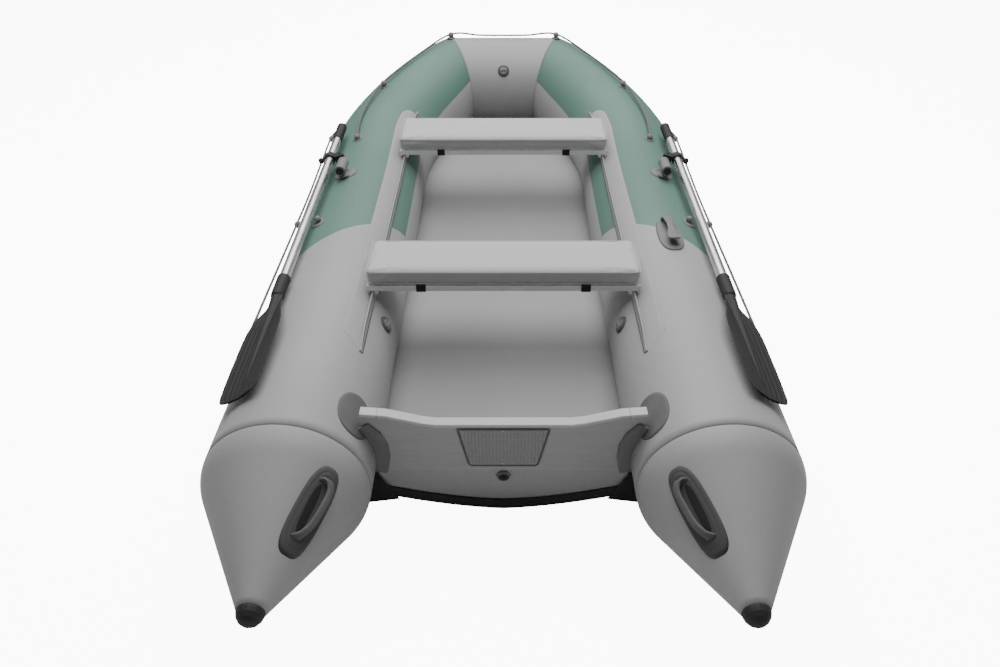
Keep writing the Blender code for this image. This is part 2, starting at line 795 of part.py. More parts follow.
def rounded_box(name, size, look, radius, segments=3):
    """Box with rounded edges, origin at its middle."""
    obj = box(name, size, look)
    bevel = obj.modifiers.new("round", "BEVEL")
    bevel.width = radius
    bevel.segments = segments
    bevel.limit_method = "ANGLE"
    return settle(obj)


def transom_brackets():
    """Fabric gussets from the transom's aft face onto the tubes."""
    ceiling = BOARD_TOP + BOARD_SHOULDER - TRIM_DROP - 0.004
    high = (ceiling - TUBE_R) / (TUBE_R + 0.0012)
    first = min(33.0, math.degrees(math.asin(max(0.05, min(1.0, high)))))
    angles = [first, first * 0.68, first * 0.34, 0, -11.25, -15]
    near = [(HALF - (TUBE_R + 0.0012) * math.cos(math.radians(a)),
             TUBE_R + (TUBE_R + 0.0012) * math.sin(math.radians(a))) for a in angles]
    far = []
    for k, a in enumerate(angles):
        w = TUBE_R + BRACKET_W * (0.8, 1, 1, 0.9, 0.8, 0.75)[k]
        far.append((HALF - w * math.cos(math.radians(a)), TUBE_R + w * math.sin(math.radians(a))))
    outline = [(x, min(z, ceiling)) for x, z in near + far[::-1]]
    outline = tidy_outline(outline)
    name = "starboard_transom_bracket"
    mesh = prism(name, outline, GAP, GAP + BRACKET_T, on_board)
    both(add(name, mesh, (DARK, 0.75)))


def tidy_outline(points):
    """Outline without repeated corners."""
    kept = []
    for p in points:
        if not kept or math.dist(p, kept[-1]) > 0.0015:
            kept.append(p)
    if math.dist(kept[0], kept[-1]) < 0.0015:
        kept.pop()
    return kept


# ---------------------------------------------------------------- seats
def seat_rails():
    """Welded flap with a fin and a bead that the seats slide on."""
    rings = []
    fin = math.degrees(math.asin(FIN_T / 2 / TUBE_R))
    for p in hull_stations(RAIL_AFT, RAIL_AFT + RAIL_LEN):
        c, tangent = line(p)
        side, up = axes(tangent)
        under = [facet_point(p, -a, GAP) for a in hug(RAIL_OUT, RAIL_IN + 2)]
        lift = GAP + RAIL_T
        outer = [facet_point(p, -(RAIL_IN + 2), lift * 0.9)]
        outer += [facet_point(p, -(RAIL_IN + fin), lift)]
        root = facet_point(p, -RAIL_IN, 0.0)
        bead = root + Vector((0, 0, BEAD_RISE))
        flat = Vector((side.x, side.y, 0)).normalized()
        arc = [flat * BEAD_R * math.sin(math.radians(b)) + UP * BEAD_R * math.cos(math.radians(b))
               for b in (-155, -100, -50, 0, 50, 100, 155)]
        outer += [bead + q for q in arc]
        outer += [facet_point(p, -(RAIL_IN - fin), lift)]
        outer += [facet_point(p, -a, lift) for a in hug(RAIL_OUT, RAIL_IN - fin)[:-1][::-1]]
        rings.append(under + outer)
    name = "starboard_seat_rail"
    both(add(name, loft(name, rings), (GREY, 0.6)))


def seat_outline():
    """Plank section across the boat, with a groove under each end for the bead."""
    low = BEAD_R + BEAD_GAP
    top = low + PLANK_T
    end = BEAD_X + PLANK_OVER
    inner = BEAD_X - BEAD_R - GROOVE_GAP
    outer = BEAD_X + BEAD_R + GROOVE_GAP
    half = [(inner - RUNNER_W, low), (inner - RUNNER_W, low - RUNNER_D)]
    half += [(inner, low - RUNNER_D), (inner, low), (outer, low)]
    half += [(outer, low - RUNNER_D / 2), (end - 0.003, low - RUNNER_D / 2), (end, low)]
    half += [(end, top)]
    return half + [(-x, z) for x, z in half[::-1]]


def seat(prefix, station):
    """One bench: plank on the rails, two straps and a cushion."""
    c, tangent = line(station)
    hub = bpy.data.objects.new(prefix + "_seat_hub", None)
    PARTS.objects.link(hub)
    hub.location = (0.0, station - MID, BEAD_Z + sheer(station) - TUBE_R)
    hub.rotation_euler.x = math.asin(tangent.z)
    mesh = prism(prefix + "_seat_board", seat_outline(), -PLANK_DEPTH / 2, PLANK_DEPTH / 2,
                 lambda u, v, w: Vector((u, w, v)))
    add(prefix + "_seat_board", mesh, ((0.62, 0.62, 0.62), 0.4), parent=hub)
    low = BEAD_R + BEAD_GAP
    top = low + PLANK_T
    lift = top + STRAP_T + 3 * GAP
    wide = 2 * (BEAD_X + PLANK_OVER)
    name = prefix + "_seat_cushion"
    size = (wide, PLANK_DEPTH, CUSHION_T)
    pad = rounded_box(name, size, ((0.55, 0.55, 0.55), 0.55), CUSHION_ROUND)
    pad.parent = hub
    pad.location = (0.0, 0.0, lift + CUSHION_T / 2)
    for side, sign in (("starboard", 1), ("port", -1)):
        strap(prefix + "_" + side + "_seat_strap", sign * STRAP_X, low, top, hub)


def strap(name, x, low, top, hub):
    """Webbing loop round the plank, under the cushion."""
    corners = [(-1, -1), (1, -1), (1, 1), (-1, 1)]
    rings = []
    for cy, cz in corners:
        section = []
        for wide, out in ((-0.5, GAP), (0.5, GAP), (0.5, GAP + STRAP_T), (-0.5, GAP + STRAP_T)):
            y = cy * (PLANK_DEPTH / 2 + out)
            z = top + out if cz > 0 else low - out
            section.append((x + wide * STRAP_W, y, z))
        rings.append(section)
    add(name, loft(name, rings, closed=True), (BLACK, 0.8), parent=hub)


# ---------------------------------------------------------------- oars
def barrel_point():
    """Middle of the oarlock's barrel, on the axis the oar tips about."""
    return at(HALF + LOCK_X, LOCK_S, sheer(LOCK_S) + TUBE_R + LOCK_Z)


def pivot_point():
    """Middle of the upright pivot that the oar swings about."""
    lock = shaft_point(LOCK_S + PIVOT_AHEAD)
    lean = math.radians(PIVOT_LEAN)
    return lock - PIVOT_BACK * Vector((math.cos(lean), 0.0, -math.sin(lean)))


def shaft_point(s):
    """Point on the shaft's axis at a station, oar stowed."""
    return at(HALF + OAR_X, s, 2 * TUBE_R + OAR_Z + OAR_SLOPE * (s - LOCK_S - PIVOT_AHEAD))


def swing_frame():
    """Frame of the swing pivot: Z along its pin, Y forward."""
    lean = math.radians(PIVOT_LEAN)
    z = Vector((math.sin(lean), 0.0, math.cos(lean)))
    return frame_at(pivot_point(), z)


def oar_frame(s):
    """Frame on the shaft's axis: Z along it forward, X across the blade outboard."""
    way = Vector((0.0, 1.0, OAR_SLOPE)).normalized()
    roll = math.radians(BLADE_ROLL)
    across = Vector((math.cos(roll), 0.0, -math.sin(roll)))
    return frame_at(shaft_point(s), way, across)


def oarlock():
    """Rubber lock: round base on the tube, neck and a barrel along the boat."""
    mid = barrel_point()
    phi = math.degrees(math.asin(LOCK_X / (TUBE_R + LOCK_Z)))
    spot = facet_point(LOCK_S, phi, 0.0)
    up = outward(LOCK_S, phi)
    name = "starboard_oarlock_base"
    place = frame_at(spot, up)
    base = hugging_pad(name, LOCK_S, phi, LOCK_BASE_R, LOCK_BASE_R, 0.005, (DARK, 0.7))
    high = (mid - spot).length
    neck = turned("neck", disc(0.016, 0.0025, high), (DARK, 0.7), place, steps=16)
    way = frame_at(mid, (0, 1, 0))
    half = BARREL_L / 2
    barrel = turned("barrel", disc(BARREL_R, -half, half), (DARK, 0.7), way, steps=24)
    join(base, [neck, barrel])
    bore = turned("lock_bore", disc(PIN_R + PIN_CLEAR, -half - 0.01, half + 0.01),
                  None, way, steps=24, cutter=True)
    both(cut(base, [bore]))


def hugging_pad(name, s, phi, along, across, thick, look, taper=0.003):
    """Oval pad lying on the tube: a fan of columns from the surface up."""
    rings = []
    spans = (-1.0, -0.9, -0.6, 0.0, 0.6, 0.9, 1.0)
    for k in spans:
        wide = max(0.12, math.sqrt(max(0.0, 1 - k * k))) * across / TUBE_R
        low = phi - math.degrees(wide)
        high = phi + math.degrees(wide)
        angles = [low + (high - low) * i / 6 for i in range(7)]
        p = s + k * along
        under = [facet_point(p, a, 0.0012) for a in angles]
        inner = [phi + (a - phi) * (1 - taper / across) for a in angles]
        over = [facet_point(s + k * (along - taper), a, thick) for a in inner]
        rings.append(under + over[::-1])
    mesh = loft(name, rings)
    return add(name, mesh, look)


def oar_bracket():
    """Pin in the barrel and the fork that carries the oar's pivot."""
    name = "starboard_oar_bracket"
    start = barrel_point()
    half = BARREL_L / 2
    look = (BLACK, 0.45)
    pin = turned(name, disc(PIN_R, -half - 0.002, half + 0.006), look, frame_at(start, (0, 1, 0)))
    head = turned("head", disc(0.0135, -half - 0.005, -half - 0.001), look,
                  frame_at(start, (0, 1, 0)), steps=20)
    swing = swing_frame()
    reach = PIVOT_AHEAD - half
    block = box("block", (0.036, 0.012, BOSS_H + 2 * CHEEK_T + 0.002), look,
                (-0.012, -reach + 0.008, 0.0))
    block.matrix_world = swing @ block.matrix_world
    pieces = [head, block]
    for sign in (1, -1):
        z = sign * (BOSS_H / 2 + 0.0006 + CHEEK_T / 2)
        cheek = box("cheek", (0.018, reach - 0.006, CHEEK_T), look, (0.0, -reach / 2 + 0.003, z))
        cheek.matrix_world = swing @ cheek.matrix_world
        eye = turned("eye", disc(0.0098, z - CHEEK_T / 2 + 1e-4, z + CHEEK_T / 2 - 1e-4),
                     look, swing, steps=20)
        pieces += [cheek, eye]
    rod = turned("rod", disc(PIVOT_PIN_R, -BOSS_H / 2 - CHEEK_T, BOSS_H / 2 + CHEEK_T),
                 look, swing, steps=16)
    both(join(pin, pieces + [rod]))


def oar_collar():
    """Collar clamped on the shaft, with the boss of the swing pivot and a screw lug."""
    name = "starboard_oar_collar"
    look = (BLACK, 0.45)
    place = oar_frame(LOCK_S + PIVOT_AHEAD)
    half = COLLAR_L / 2
    body = turned(name, disc(COLLAR_R, -half, half), look, place, steps=24)
    swing = swing_frame()
    boss = turned("boss", disc(BOSS_R, -BOSS_H / 2, BOSS_H / 2), look, swing, steps=20)
    web = box("web", (PIVOT_BACK - 0.012, 0.010, BOSS_H - 0.004), look,
              (PIVOT_BACK / 2 - 0.002, 0.0, 0.0))
    web.matrix_world = swing @ web.matrix_world
    lug = turned("lug", disc(0.009, PIVOT_BACK + 0.010, PIVOT_BACK + COLLAR_R + 0.008), look,
                 swing @ Matrix.Rotation(math.pi / 2, 4, "Y"), steps=16)
    join(body, [boss, web, lug])
    shaft = turned("collar_bore", disc(SHAFT_R + SHAFT_FIT, -0.05, 0.05), None, place,
                   steps=24, cutter=True)
    hole = turned("boss_bore", disc(PIVOT_PIN_R + SHAFT_FIT, -0.03, 0.03), None, swing,
                  steps=16, cutter=True)
    tap = turned("tap_bore", disc(0.0038, PIVOT_BACK + COLLAR_R - TAP_IN, PIVOT_BACK + COLLAR_R + 0.03),
                 None, swing @ Matrix.Rotation(math.pi / 2, 4, "Y"), steps=16, cutter=True)
    both(cut(body, [shaft, hole, tap]))


def collar_knob():
    """Clamp knob outboard of the collar, with its screw in the lug."""
    place = swing_frame() @ Matrix.Rotation(math.pi / 2, 4, "Y")
    start = PIVOT_BACK + COLLAR_R + 0.0085
    tail = PIVOT_BACK + COLLAR_R + 0.0005
    profile = [(0.0, start + KNOB_L), (KNOB_R - 0.003, start + KNOB_L)]
    profile += [(KNOB_R, start + KNOB_L - 0.003), (KNOB_R, start), (0.0035, start)]
    profile += [(0.0035, tail), (0.0, tail)]
    both(turned("starboard_collar_knob", profile, (BLACK, 0.4), place, steps=16))


def oar_shaft():
    """Aluminium tube, open at both ends inside the grip and the blade."""
    fore = LOCK_S + PIVOT_AHEAD + 0.31
    place = oar_frame(fore - GRIP_L + 0.105)
    a, b = SHAFT_R, SHAFT_R - SHAFT_WALL
    profile = [(b, 0.0), (a, 0.0), (a, -SHAFT_LEN), (b, -SHAFT_LEN), (b, 0.0)]
    both(turned("starboard_oar_shaft", profile, ((0.75, 0.75, 0.76), 0.25, 1.0), place))


def oar_grip():
    """Black plastic hand grip over the shaft's front end."""
    fore = LOCK_S + PIVOT_AHEAD + 0.31
    place = oar_frame(fore)
    r = GRIP_R
    deep = GRIP_L - 0.035 + GAP
    bore = SHAFT_R + SHAFT_FIT
    profile = [(0.0, 0.0), (r - 0.006, 0.0), (r - 0.002, -0.002), (r, -0.006), (r, -0.03)]
    profile += [(r - 0.0015, -0.045), (r - 0.0015, -GRIP_L + 0.02), (r, -GRIP_L + 0.008)]
    profile += [(r, -GRIP_L), (bore, -GRIP_L), (bore, -GRIP_L + deep), (0.0, -GRIP_L + deep)]
    both(turned("starboard_oar_grip", profile, (BLACK, 0.55), place, steps=24))


def blade_outline():
    """Half outline of the blade: (aft of the socket's mouth, half width)."""
    w = BLADE_HALF
    shape = [(0.10, 0.30), (0.14, 0.44), (0.18, 0.66), (0.23, 0.86), (0.29, 1.0)]
    shape += [(BLADE_L - 0.09, 1.0), (BLADE_L - 0.03, 0.90), (BLADE_L, 0.74)]
    return [(d, w * k) for d, k in shape]


def oar_blade():
    """Plastic blade: flat plate, tapering spine and the socket for the shaft."""
    fore = LOCK_S + PIVOT_AHEAD + 0.31
    mouth = fore - GRIP_L + 0.105 - SHAFT_LEN + SOCKET_L - 0.01
    place = oar_frame(mouth)
    look = (BLACK, 0.5)
    name = "starboard_oar_blade"
    r = SOCKET_R
    profile = [(0.0, 0.0), (r - 0.001, 0.0), (r, -0.001), (r, -SOCKET_L), (0.016, -0.18)]
    profile += [(0.007, -BLADE_L + 0.05), (0.004, -BLADE_L + 0.02), (0.0, -BLADE_L + 0.02)]
    spine = turned(name, profile, look, place, steps=16)
    half = blade_outline()
    outline = [(w, -d) for d, w in half] + [(-w, -d) for d, w in half[::-1]]
    mesh = prism("plate", outline, -BLADE_T / 2, BLADE_T / 2, lambda u, v, w: Vector((u, w, v)))
    plate = add("plate", mesh, look)
    plate.matrix_world = place
    join(spine, [plate])
    bore = turned("socket_bore", disc(SHAFT_R + SHAFT_FIT, -SOCKET_L + 0.01 - GAP, 0.02), None,
                  place, steps=24, cutter=True)
    both(cut(spine, [bore]))


def oar_cleat():
    """Rubber post that keeps the stowed shaft from rolling inboard."""
    beside = OAR_X - SHAFT_R - POST_R - 0.0035
    phi = math.degrees(math.asin(beside / TUBE_R))
    name = "starboard_oar_cleat"
    base = hugging_pad(name, CLEAT_S, phi, 0.028, 0.022, 0.005, (DARK, 0.7))
    spot = facet_point(CLEAT_S, phi, 0.0)
    post = turned("post", domed(POST_R, 0.0062, 0.028, 0.004), (DARK, 0.7),
                  frame_at(spot, (0, 0, 1)), steps=16)
    both(join(base, [post]))


# ---------------------------------------------------------------- fittings
def valve(prefix, spot, out):
    """Valve flange on the tube and its turning bayonet cap."""
    place = frame_at(spot, out, (0.0, 1.0, 0.0) if abs(out.x) > 0.5 else (1.0, 0.0, 0.0))
    r = VALVE_R
    c = VALVE_CAP_R
    low = 0.0012
    t = low + VALVE_T
    flange = [(0.0, low + 0.002), (c + 0.001, low + 0.002), (c + 0.001, t), (r - 0.003, t)]
    flange += [(r, t - 0.003), (r, low), (0.0, low)]
    turned(prefix + "_valve", flange, ((0.10, 0.10, 0.10), 0.45), place, steps=20)
    base = low + 0.002 + GAP
    cap = [(0.0, t + 0.003), (c - 0.003, t + 0.003), (c, t + 0.0005), (c, base), (0.0, base)]
    lid = turned(prefix + "_valve_cap", cap, ((0.16, 0.16, 0.16), 0.4), place, steps=20)
    wing = box("wing", (2 * c - 0.010, 0.004, 0.008), ((0.2, 0.2, 0.2), 0.4),
               (0, 0, t + 0.0065))
    wing.matrix_world = place @ wing.matrix_world
    join(lid, [wing])
    return lid


def valves():
    """Valves inside both main tubes and on the bow tube."""
    spot = facet_point(VALVE_S, -VALVE_PHI, 0.0)
    valve("starboard", spot, outward(VALVE_S, -VALVE_PHI))
    twin = Vector((-spot.x, spot.y, spot.z))
    out = outward(VALVE_S, -VALVE_PHI)
    valve("port", twin, Vector((-out.x, out.y, out.z)))
    a = math.radians(56.25)
    way = Vector((0.0, -math.sin(a), math.cos(a)))
    valve("bow", at(0.0, BOW_S, sheer(BOW_S)) + TUBE_R * way, way)


def cone_point(s, phi, lift):
    """Point on the stern cone, phi degrees inboard of the top."""
    a = math.radians(phi)
    step = 2 * math.pi / SIDES
    r = cone_radius(s) * math.cos(step / 2) / math.cos(a % step - step / 2) + lift
    return at(HALF - r * math.sin(a), s, TUBE_R + r * math.cos(a))


def carry_handles():
    """Moulded handle on each cone: oval base and an arched grip."""
    name = "starboard_carry_handle"
    look = (DARK, 0.7)
    rings = []
    mid = (HANDLE_AFT + HANDLE_FORE) / 2
    phi = (HANDLE_PHI_AFT + HANDLE_PHI_FORE) / 2
    long = (HANDLE_FORE - HANDLE_AFT) / 2 + HANDLE_END_R
    for k in (-1.0, -0.93, -0.78, -0.62, 0.0, 0.62, 0.78, 0.93, 1.0):
        s = mid + k * long
        end = max(0.0, (abs(k) * long - (long - HANDLE_END_R)) / HANDLE_END_R)
        wide = HANDLE_END_R * max(0.22, math.sqrt(max(0.0, 1 - end * end)))
        turn = math.degrees(wide / cone_radius(s))
        turn = min(turn, 60.0)
        angles = [phi + turn * j for j in (-1, -0.6, -0.2, 0.2, 0.6, 1)]
        under = [cone_point(s, a, 0.0018) for a in angles]
        over = [cone_point(s, phi + (a - phi) * 0.94, 0.0018 + HANDLE_BASE_T) for a in angles]
        rings.append(under + over[::-1])
    base = add(name, loft(name, rings), look)
    route = [(HANDLE_AFT, 0.0052), (HANDLE_AFT + 0.004, 0.016)]
    route += [(HANDLE_AFT + 0.022, HANDLE_ARCH - 0.002), (mid, HANDLE_ARCH)]
    route += [(HANDLE_FORE - 0.022, HANDLE_ARCH - 0.002), (HANDLE_FORE - 0.004, 0.016)]
    route += [(HANDLE_FORE, 0.0052)]
    grip = []
    a = math.radians(phi)
    out = Vector((-math.sin(a), 0.0, math.cos(a)))
    across = Vector((math.cos(a), 0.0, math.sin(a)))
    spots = [cone_point(s, phi, h) for s, h in route]
    for i, c in enumerate(spots):
        ahead = spots[min(i + 1, len(spots) - 1)] - spots[max(i - 1, 0)]
        normal = across.cross(ahead).normalized()
        section = []
        for u, v in ((-1, -0.5), (-1, 0.5), (-0.6, 1), (0.6, 1), (1, 0.5), (1, -0.5), (0.6, -1),
                     (-0.6, -1)):
            section.append(c + across * 0.011 * u + normal * 0.0045 * v)
        grip.append(section)
    bar = add("bar", loft("bar", grip), look)
    both(join(base, [bar]))


def anchor_hook():
    """Rubber pad with an open tongue that the anchor line drops behind."""
    name = "anchor_hook"
    look = (DARK, 0.65)
    base = hugging_pad(name, HOOK_S, HOOK_PHI, 0.105, 0.034, 0.005, look)
    route = [(0.085, 0.002), (0.086, 0.014), (0.076, 0.026), (0.050, 0.030), (0.000, 0.031)]
    route += [(-0.040, 0.033), (-0.070, 0.038), (-0.088, 0.046)]
    wides = (0.014, 0.014, 0.014, 0.013, 0.012, 0.016, 0.019, 0.012)
    out = outward(HOOK_S, HOOK_PHI)
    side = axes(line(HOOK_S)[1])[0]
    foot = facet_point(HOOK_S, HOOK_PHI, 0.0)
    spots = [foot + Vector((0, d, 0)) + out * h for d, h in route]
    rings = []
    for i, c in enumerate(spots):
        ahead = spots[min(i + 1, len(spots) - 1)] - spots[max(i - 1, 0)]
        normal = side.cross(ahead).normalized()
        w = wides[i]
        rings.append([c + side * w * u + normal * 0.004 * v for u, v in
                      ((-1, -0.6), (-1, 0.6), (-0.7, 1), (0.7, 1), (1, 0.6), (1, -0.6), (0.7, -1),
                       (-0.7, -1))])
    tongue = add("tongue", loft("tongue", rings), look)
    join(base, [tongue])


# ---------------------------------------------------------------- lifelines
def smooth_run(points, per):
    """Points along a Catmull-Rom curve through the given ones."""
    pts = [Vector(p) for p in points]
    pts = [2 * pts[0] - pts[1]] + pts + [2 * pts[-1] - pts[-2]]
    out = []
    for i in range(1, len(pts) - 2):
        a, b, c, d = pts[i - 1:i + 3]
        for k in range(per):
            t = k / per
            out.append(0.5 * (2 * b + (c - a) * t + (2 * a - 5 * b + 4 * c - d) * t * t
                              + (3 * b - a - 3 * c + d) * t**3))
    out.append(pts[-2])
    return out


def rope(name, points):
    """Round rope along its points, as a closed mesh."""
    data = bpy.data.curves.new(name, "CURVE")
    data.dimensions = "3D"
    data.bevel_depth = ROPE_R
    data.bevel_resolution = 2
    data.use_fill_caps = True
    spline = data.splines.new("POLY")
    spline.points.add(len(points) - 1)
    for k, p in enumerate(points):
        spline.points[k].co = (*p, 1.0)
    curve = bpy.data.objects.new(name, data)
    PARTS.objects.link(curve)
    bpy.context.view_layer.update()
    graph = bpy.context.evaluated_depsgraph_get()
    mesh = bpy.data.meshes.new_from_object(curve.evaluated_get(graph))
    bpy.data.objects.remove(curve)
    bm = bmesh.new()
    bm.from_mesh(mesh)
    bmesh.ops.remove_doubles(bm, verts=bm.verts, dist=1e-6)
    return add(name, mesh_of(bm, name), ((0.07, 0.07, 0.07), 0.8))


def holder(spot, out, drop=0.0):
    """Small rubber knob that a lifeline runs through, its head lower by the drop."""
    top = HOLDER_H - drop
    place = frame_at(spot, out, (0.0, 1.0, 0.0))
    profile = domed(HOLDER_HEAD, top - 0.014, top, 0.008)[:-1]
    profile += [(HOLDER_HEAD - 0.003, 0.0075), (HOLDER_R - 0.001, 0.0045)]
    profile += [(HOLDER_R, 0.0022), (0.0, 0.0022)]
    return turned("holder", profile, (DARK, 0.7), place, steps=10)


def side_line():
    """Lifeline along the outer side, through three holders."""
    span = QUARTER_S + 0.075 - LINE_AFT
    h = ROPE_LIFT
    shares = [(0.168, 63.5), (0.36, 63), (0.5535, 63), (0.7124, 63), (0.8726, 62), (1.0, 61)]
    stops = [(LINE_AFT - 0.045, 64, h - 0.006), (LINE_AFT - 0.02, 64, h - 0.001)]
    stops += [(LINE_AFT, 64, h)]
    stops += [(LINE_AFT + span * k, a, h) for k, a in shares]
    stops += [(QUARTER_S + 0.13, 60.5, h - 0.008)]
    points = [facet_point(*q) for q in stops]
    line_obj = rope("starboard_lifeline", smooth_run(points, 3))
    held = (stops[2], stops[5], stops[8])
    knobs = [holder(facet_point(p, a, 0.0), outward(p, a)) for p, a, h in held]
    both(join(line_obj, knobs))


def bow_line():
    """Lifeline round the bow, over the quarters and along the cross tube."""
    h = ROPE_LIFT
    stops = [(QUARTER_S - 0.094, 12, h - SWEEP_DROP), (QUARTER_S + 0.06, 14, h - 0.006)]
    stops += [(QUARTER_S + 0.19, 15, h - 0.006), (QUARTER_S + 0.34, 15, h)]
    stops += [(QUARTER_S + 0.48, 13, h - 0.006), (QUARTER_S + 0.62, 11, h - 0.006)]
    right = [facet_point(*q) for q in stops]
    rise = sheer(BOW_S)
    corner = at(BOW_HALF + 0.028, BOW_S + 0.020, rise + TUBE_R + h)
    centre = at(0.0, BOW_S + 0.022, rise + TUBE_R + h - 0.006)
    half = at(BOW_HALF * 0.5, BOW_S + 0.021, rise + TUBE_R + h - 0.005)
    run = right + [corner, half]
    left = [Vector((-q.x, q.y, q.z)) for q in run[::-1]]
    line_obj = rope("bow_lifeline", smooth_run(run + [centre] + left, 3))
    knobs = []
    for sign in (1, -1):
        for (p, a, _), drop in ((stops[0], SWEEP_DROP), (stops[3], 0.0)):
            spot = facet_point(p, a, 0.0)
            out = outward(p, a)
            place = Vector((sign * spot.x, spot.y, spot.z))
            knobs.append(holder(place, Vector((sign * out.x, out.y, out.z)), drop))
        spot = Vector((sign * corner.x, corner.y, corner.z - h + 0.001))
        knobs.append(holder(spot, Vector((sign * 0.02, 0.06, 1.0)).normalized()))
    join(line_obj, knobs)


# ---------------------------------------------------------------- build
def main():
    """Removes what is there and builds the tender."""
    global PARTS, CUTTERS
    for obj in list(bpy.data.objects):
        bpy.data.objects.remove(obj)
    PARTS = bpy.data.collections.new("inflatable_tender")
    CUTTERS = bpy.data.collections.new("cutters")
    bpy.context.scene.collection.children.link(PARTS)
    bpy.context.scene.collection.children.link(CUTTERS)
    side_tubes()
    bow_quarters()
    bow_tube()
    stern_cones()
    strakes()
    bottom()
    air_floor()
    transom_board()
    transom_cap()
    motor_plate()
    drain()
    transom_brackets()
    seat_rails()
    seat("rear", REAR_SEAT)
    seat("front", FRONT_SEAT)
    oarlock()
    oar_bracket()
    oar_collar()
    collar_knob()
    oar_shaft()
    oar_grip()
    oar_blade()
    oar_cleat()
    valves()
    carry_handles()
    anchor_hook()
    side_line()
    bow_line()


main()
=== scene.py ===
"""Inflatable tender: surfaces, seams, cushions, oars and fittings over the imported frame.

Every length is in metres.  +Y is the bow, +X starboard, +Z up; stations are counted
forward from the tips of the stern cones.
"""
import json
import math

import bmesh
import bpy
import numpy as np
from mathutils import Matrix, Vector


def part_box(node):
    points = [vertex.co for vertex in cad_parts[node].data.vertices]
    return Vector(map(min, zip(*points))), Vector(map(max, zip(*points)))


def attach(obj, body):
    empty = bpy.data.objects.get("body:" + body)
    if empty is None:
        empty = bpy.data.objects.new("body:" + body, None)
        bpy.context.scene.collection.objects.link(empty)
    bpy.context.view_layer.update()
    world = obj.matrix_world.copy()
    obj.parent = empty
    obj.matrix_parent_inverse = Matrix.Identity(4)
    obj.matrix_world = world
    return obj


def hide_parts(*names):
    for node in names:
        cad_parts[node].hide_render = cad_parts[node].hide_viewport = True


bl_info = {
    "name": "Inflatable tender",
    "version": (1, 0, 0),
    "blender": (4, 5, 0),
    "location": "View3D > Sidebar > Tender",
    "description": "Builds the fabric, cushions, oars and fittings of an inflatable tender",
    "category": "Add Mesh",
}

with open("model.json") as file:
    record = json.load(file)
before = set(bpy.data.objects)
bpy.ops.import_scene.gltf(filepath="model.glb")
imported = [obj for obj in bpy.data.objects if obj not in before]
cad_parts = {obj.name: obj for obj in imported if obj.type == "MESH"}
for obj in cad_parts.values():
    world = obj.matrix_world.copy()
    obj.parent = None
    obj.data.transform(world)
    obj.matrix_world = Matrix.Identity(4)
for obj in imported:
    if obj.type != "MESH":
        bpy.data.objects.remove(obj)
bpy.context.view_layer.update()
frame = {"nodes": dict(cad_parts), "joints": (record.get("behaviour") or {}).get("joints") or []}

# ------------------------------------------------------------- sizes from the frame
CONE_LO, CONE_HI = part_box("starboard_stern_cone")
TUBE_LO, TUBE_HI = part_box("starboard_side_tube")
BOW_LO, BOW_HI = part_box("bow_tube")
HALF = (CONE_LO.x + CONE_HI.x) / 2
TUBE_R = (BOW_HI.z - BOW_LO.z) / 2
TIP_Y = CONE_LO.y
SEAM_S = CONE_HI.y - TIP_Y
QUARTER_S = TUBE_HI.y - TIP_Y
BOW_Y = (BOW_LO.y + BOW_HI.y) / 2
BOW_S = BOW_Y - TIP_Y
BOW_Z = (BOW_LO.z + BOW_HI.z) / 2
BOW_TURN = math.radians(42.4)
SHEER_LEN = 1.36
BOW_RISE = BOW_Z - TUBE_R
BOW_WAY = np.array([-math.cos(BOW_TURN), math.sin(BOW_TURN),
                    2 * BOW_RISE / SHEER_LEN * math.sin(BOW_TURN)])
MITRE = BOW_WAY / np.linalg.norm(BOW_WAY) + np.array([-1.0, 0.0, 0.0])
MITRE = MITRE / np.linalg.norm(MITRE)
BOW_HALF = BOW_HI.x - TUBE_R * math.hypot(MITRE[1], MITRE[2]) / abs(MITRE[0])
TIP_R = 0.034
SHOULDER = 0.07
TRANSOM_S = 0.5113
RAKE = 0.105
OAR_SLOPE = 0.030
BLADE_ROLL = math.radians(30)
BLADE_L = 0.555
SHAFT_R = 0.017
LINE_AFT = 0.738
ROPE_LIFT = 0.0205
SIDES = (("starboard", 1.0), ("port", -1.0))


# ------------------------------------------------------------- settings
def colour(name, description, default):
    """Linear colour property."""
    return bpy.props.FloatVectorProperty(
        name=name, description=description, default=default, subtype="COLOR", min=0.0, max=1.0)


def length(name, description, default):
    """Length property in metres."""
    return bpy.props.FloatProperty(name=name, description=description, default=default,
                                   min=0.0, unit="LENGTH", precision=4)


class TenderHull(bpy.types.PropertyGroup):
    """Fabric of the tubes, bottom and floor."""
    grey: colour("Grey fabric", "Stern, bow tube and bottom", (0.372, 0.367, 0.369))
    green: colour("Green fabric", "Bow quarters and fore side tubes", (0.104, 0.206, 0.166))
    floor: colour("Floor fabric", "Inflated floor mat", (0.295, 0.292, 0.293))
    seam: length("Seam width", "Width of the welded seam line", 0.0032)
    crown: length("Floor crown", "How far the floor's middle stands proud", 0.004)


class TenderSeats(bpy.types.PropertyGroup):
    """Benches, cushions and rails."""
    cover: colour("Cushion cover", "Coated cover of both cushions", (0.56, 0.56, 0.56))
    plank: colour("Plank", "Painted bench planks", (0.86, 0.86, 0.86))
    swell: length("Cushion swell", "Most that the stuffing pushes the cover out", 0.004)
    edge: length("Cushion edge", "Radius of the cushion's long edges", 0.0055)
    piping: length("Piping radius", "Cord sewn round the cushion's edges", 0.0016)


class TenderOars(bpy.types.PropertyGroup):
    """Oars and their locks."""
    plastic: colour("Black plastic", "Blades, grips and brackets", (0.008, 0.008, 0.0085))
    metal: colour("Aluminium", "Oar shafts", (0.86, 0.86, 0.87))
    blade_half: length("Blade half width", "Half the blade's widest part", 0.068)
    rib: length("Blade rib", "Height of the ribs on the blade", 0.0016)


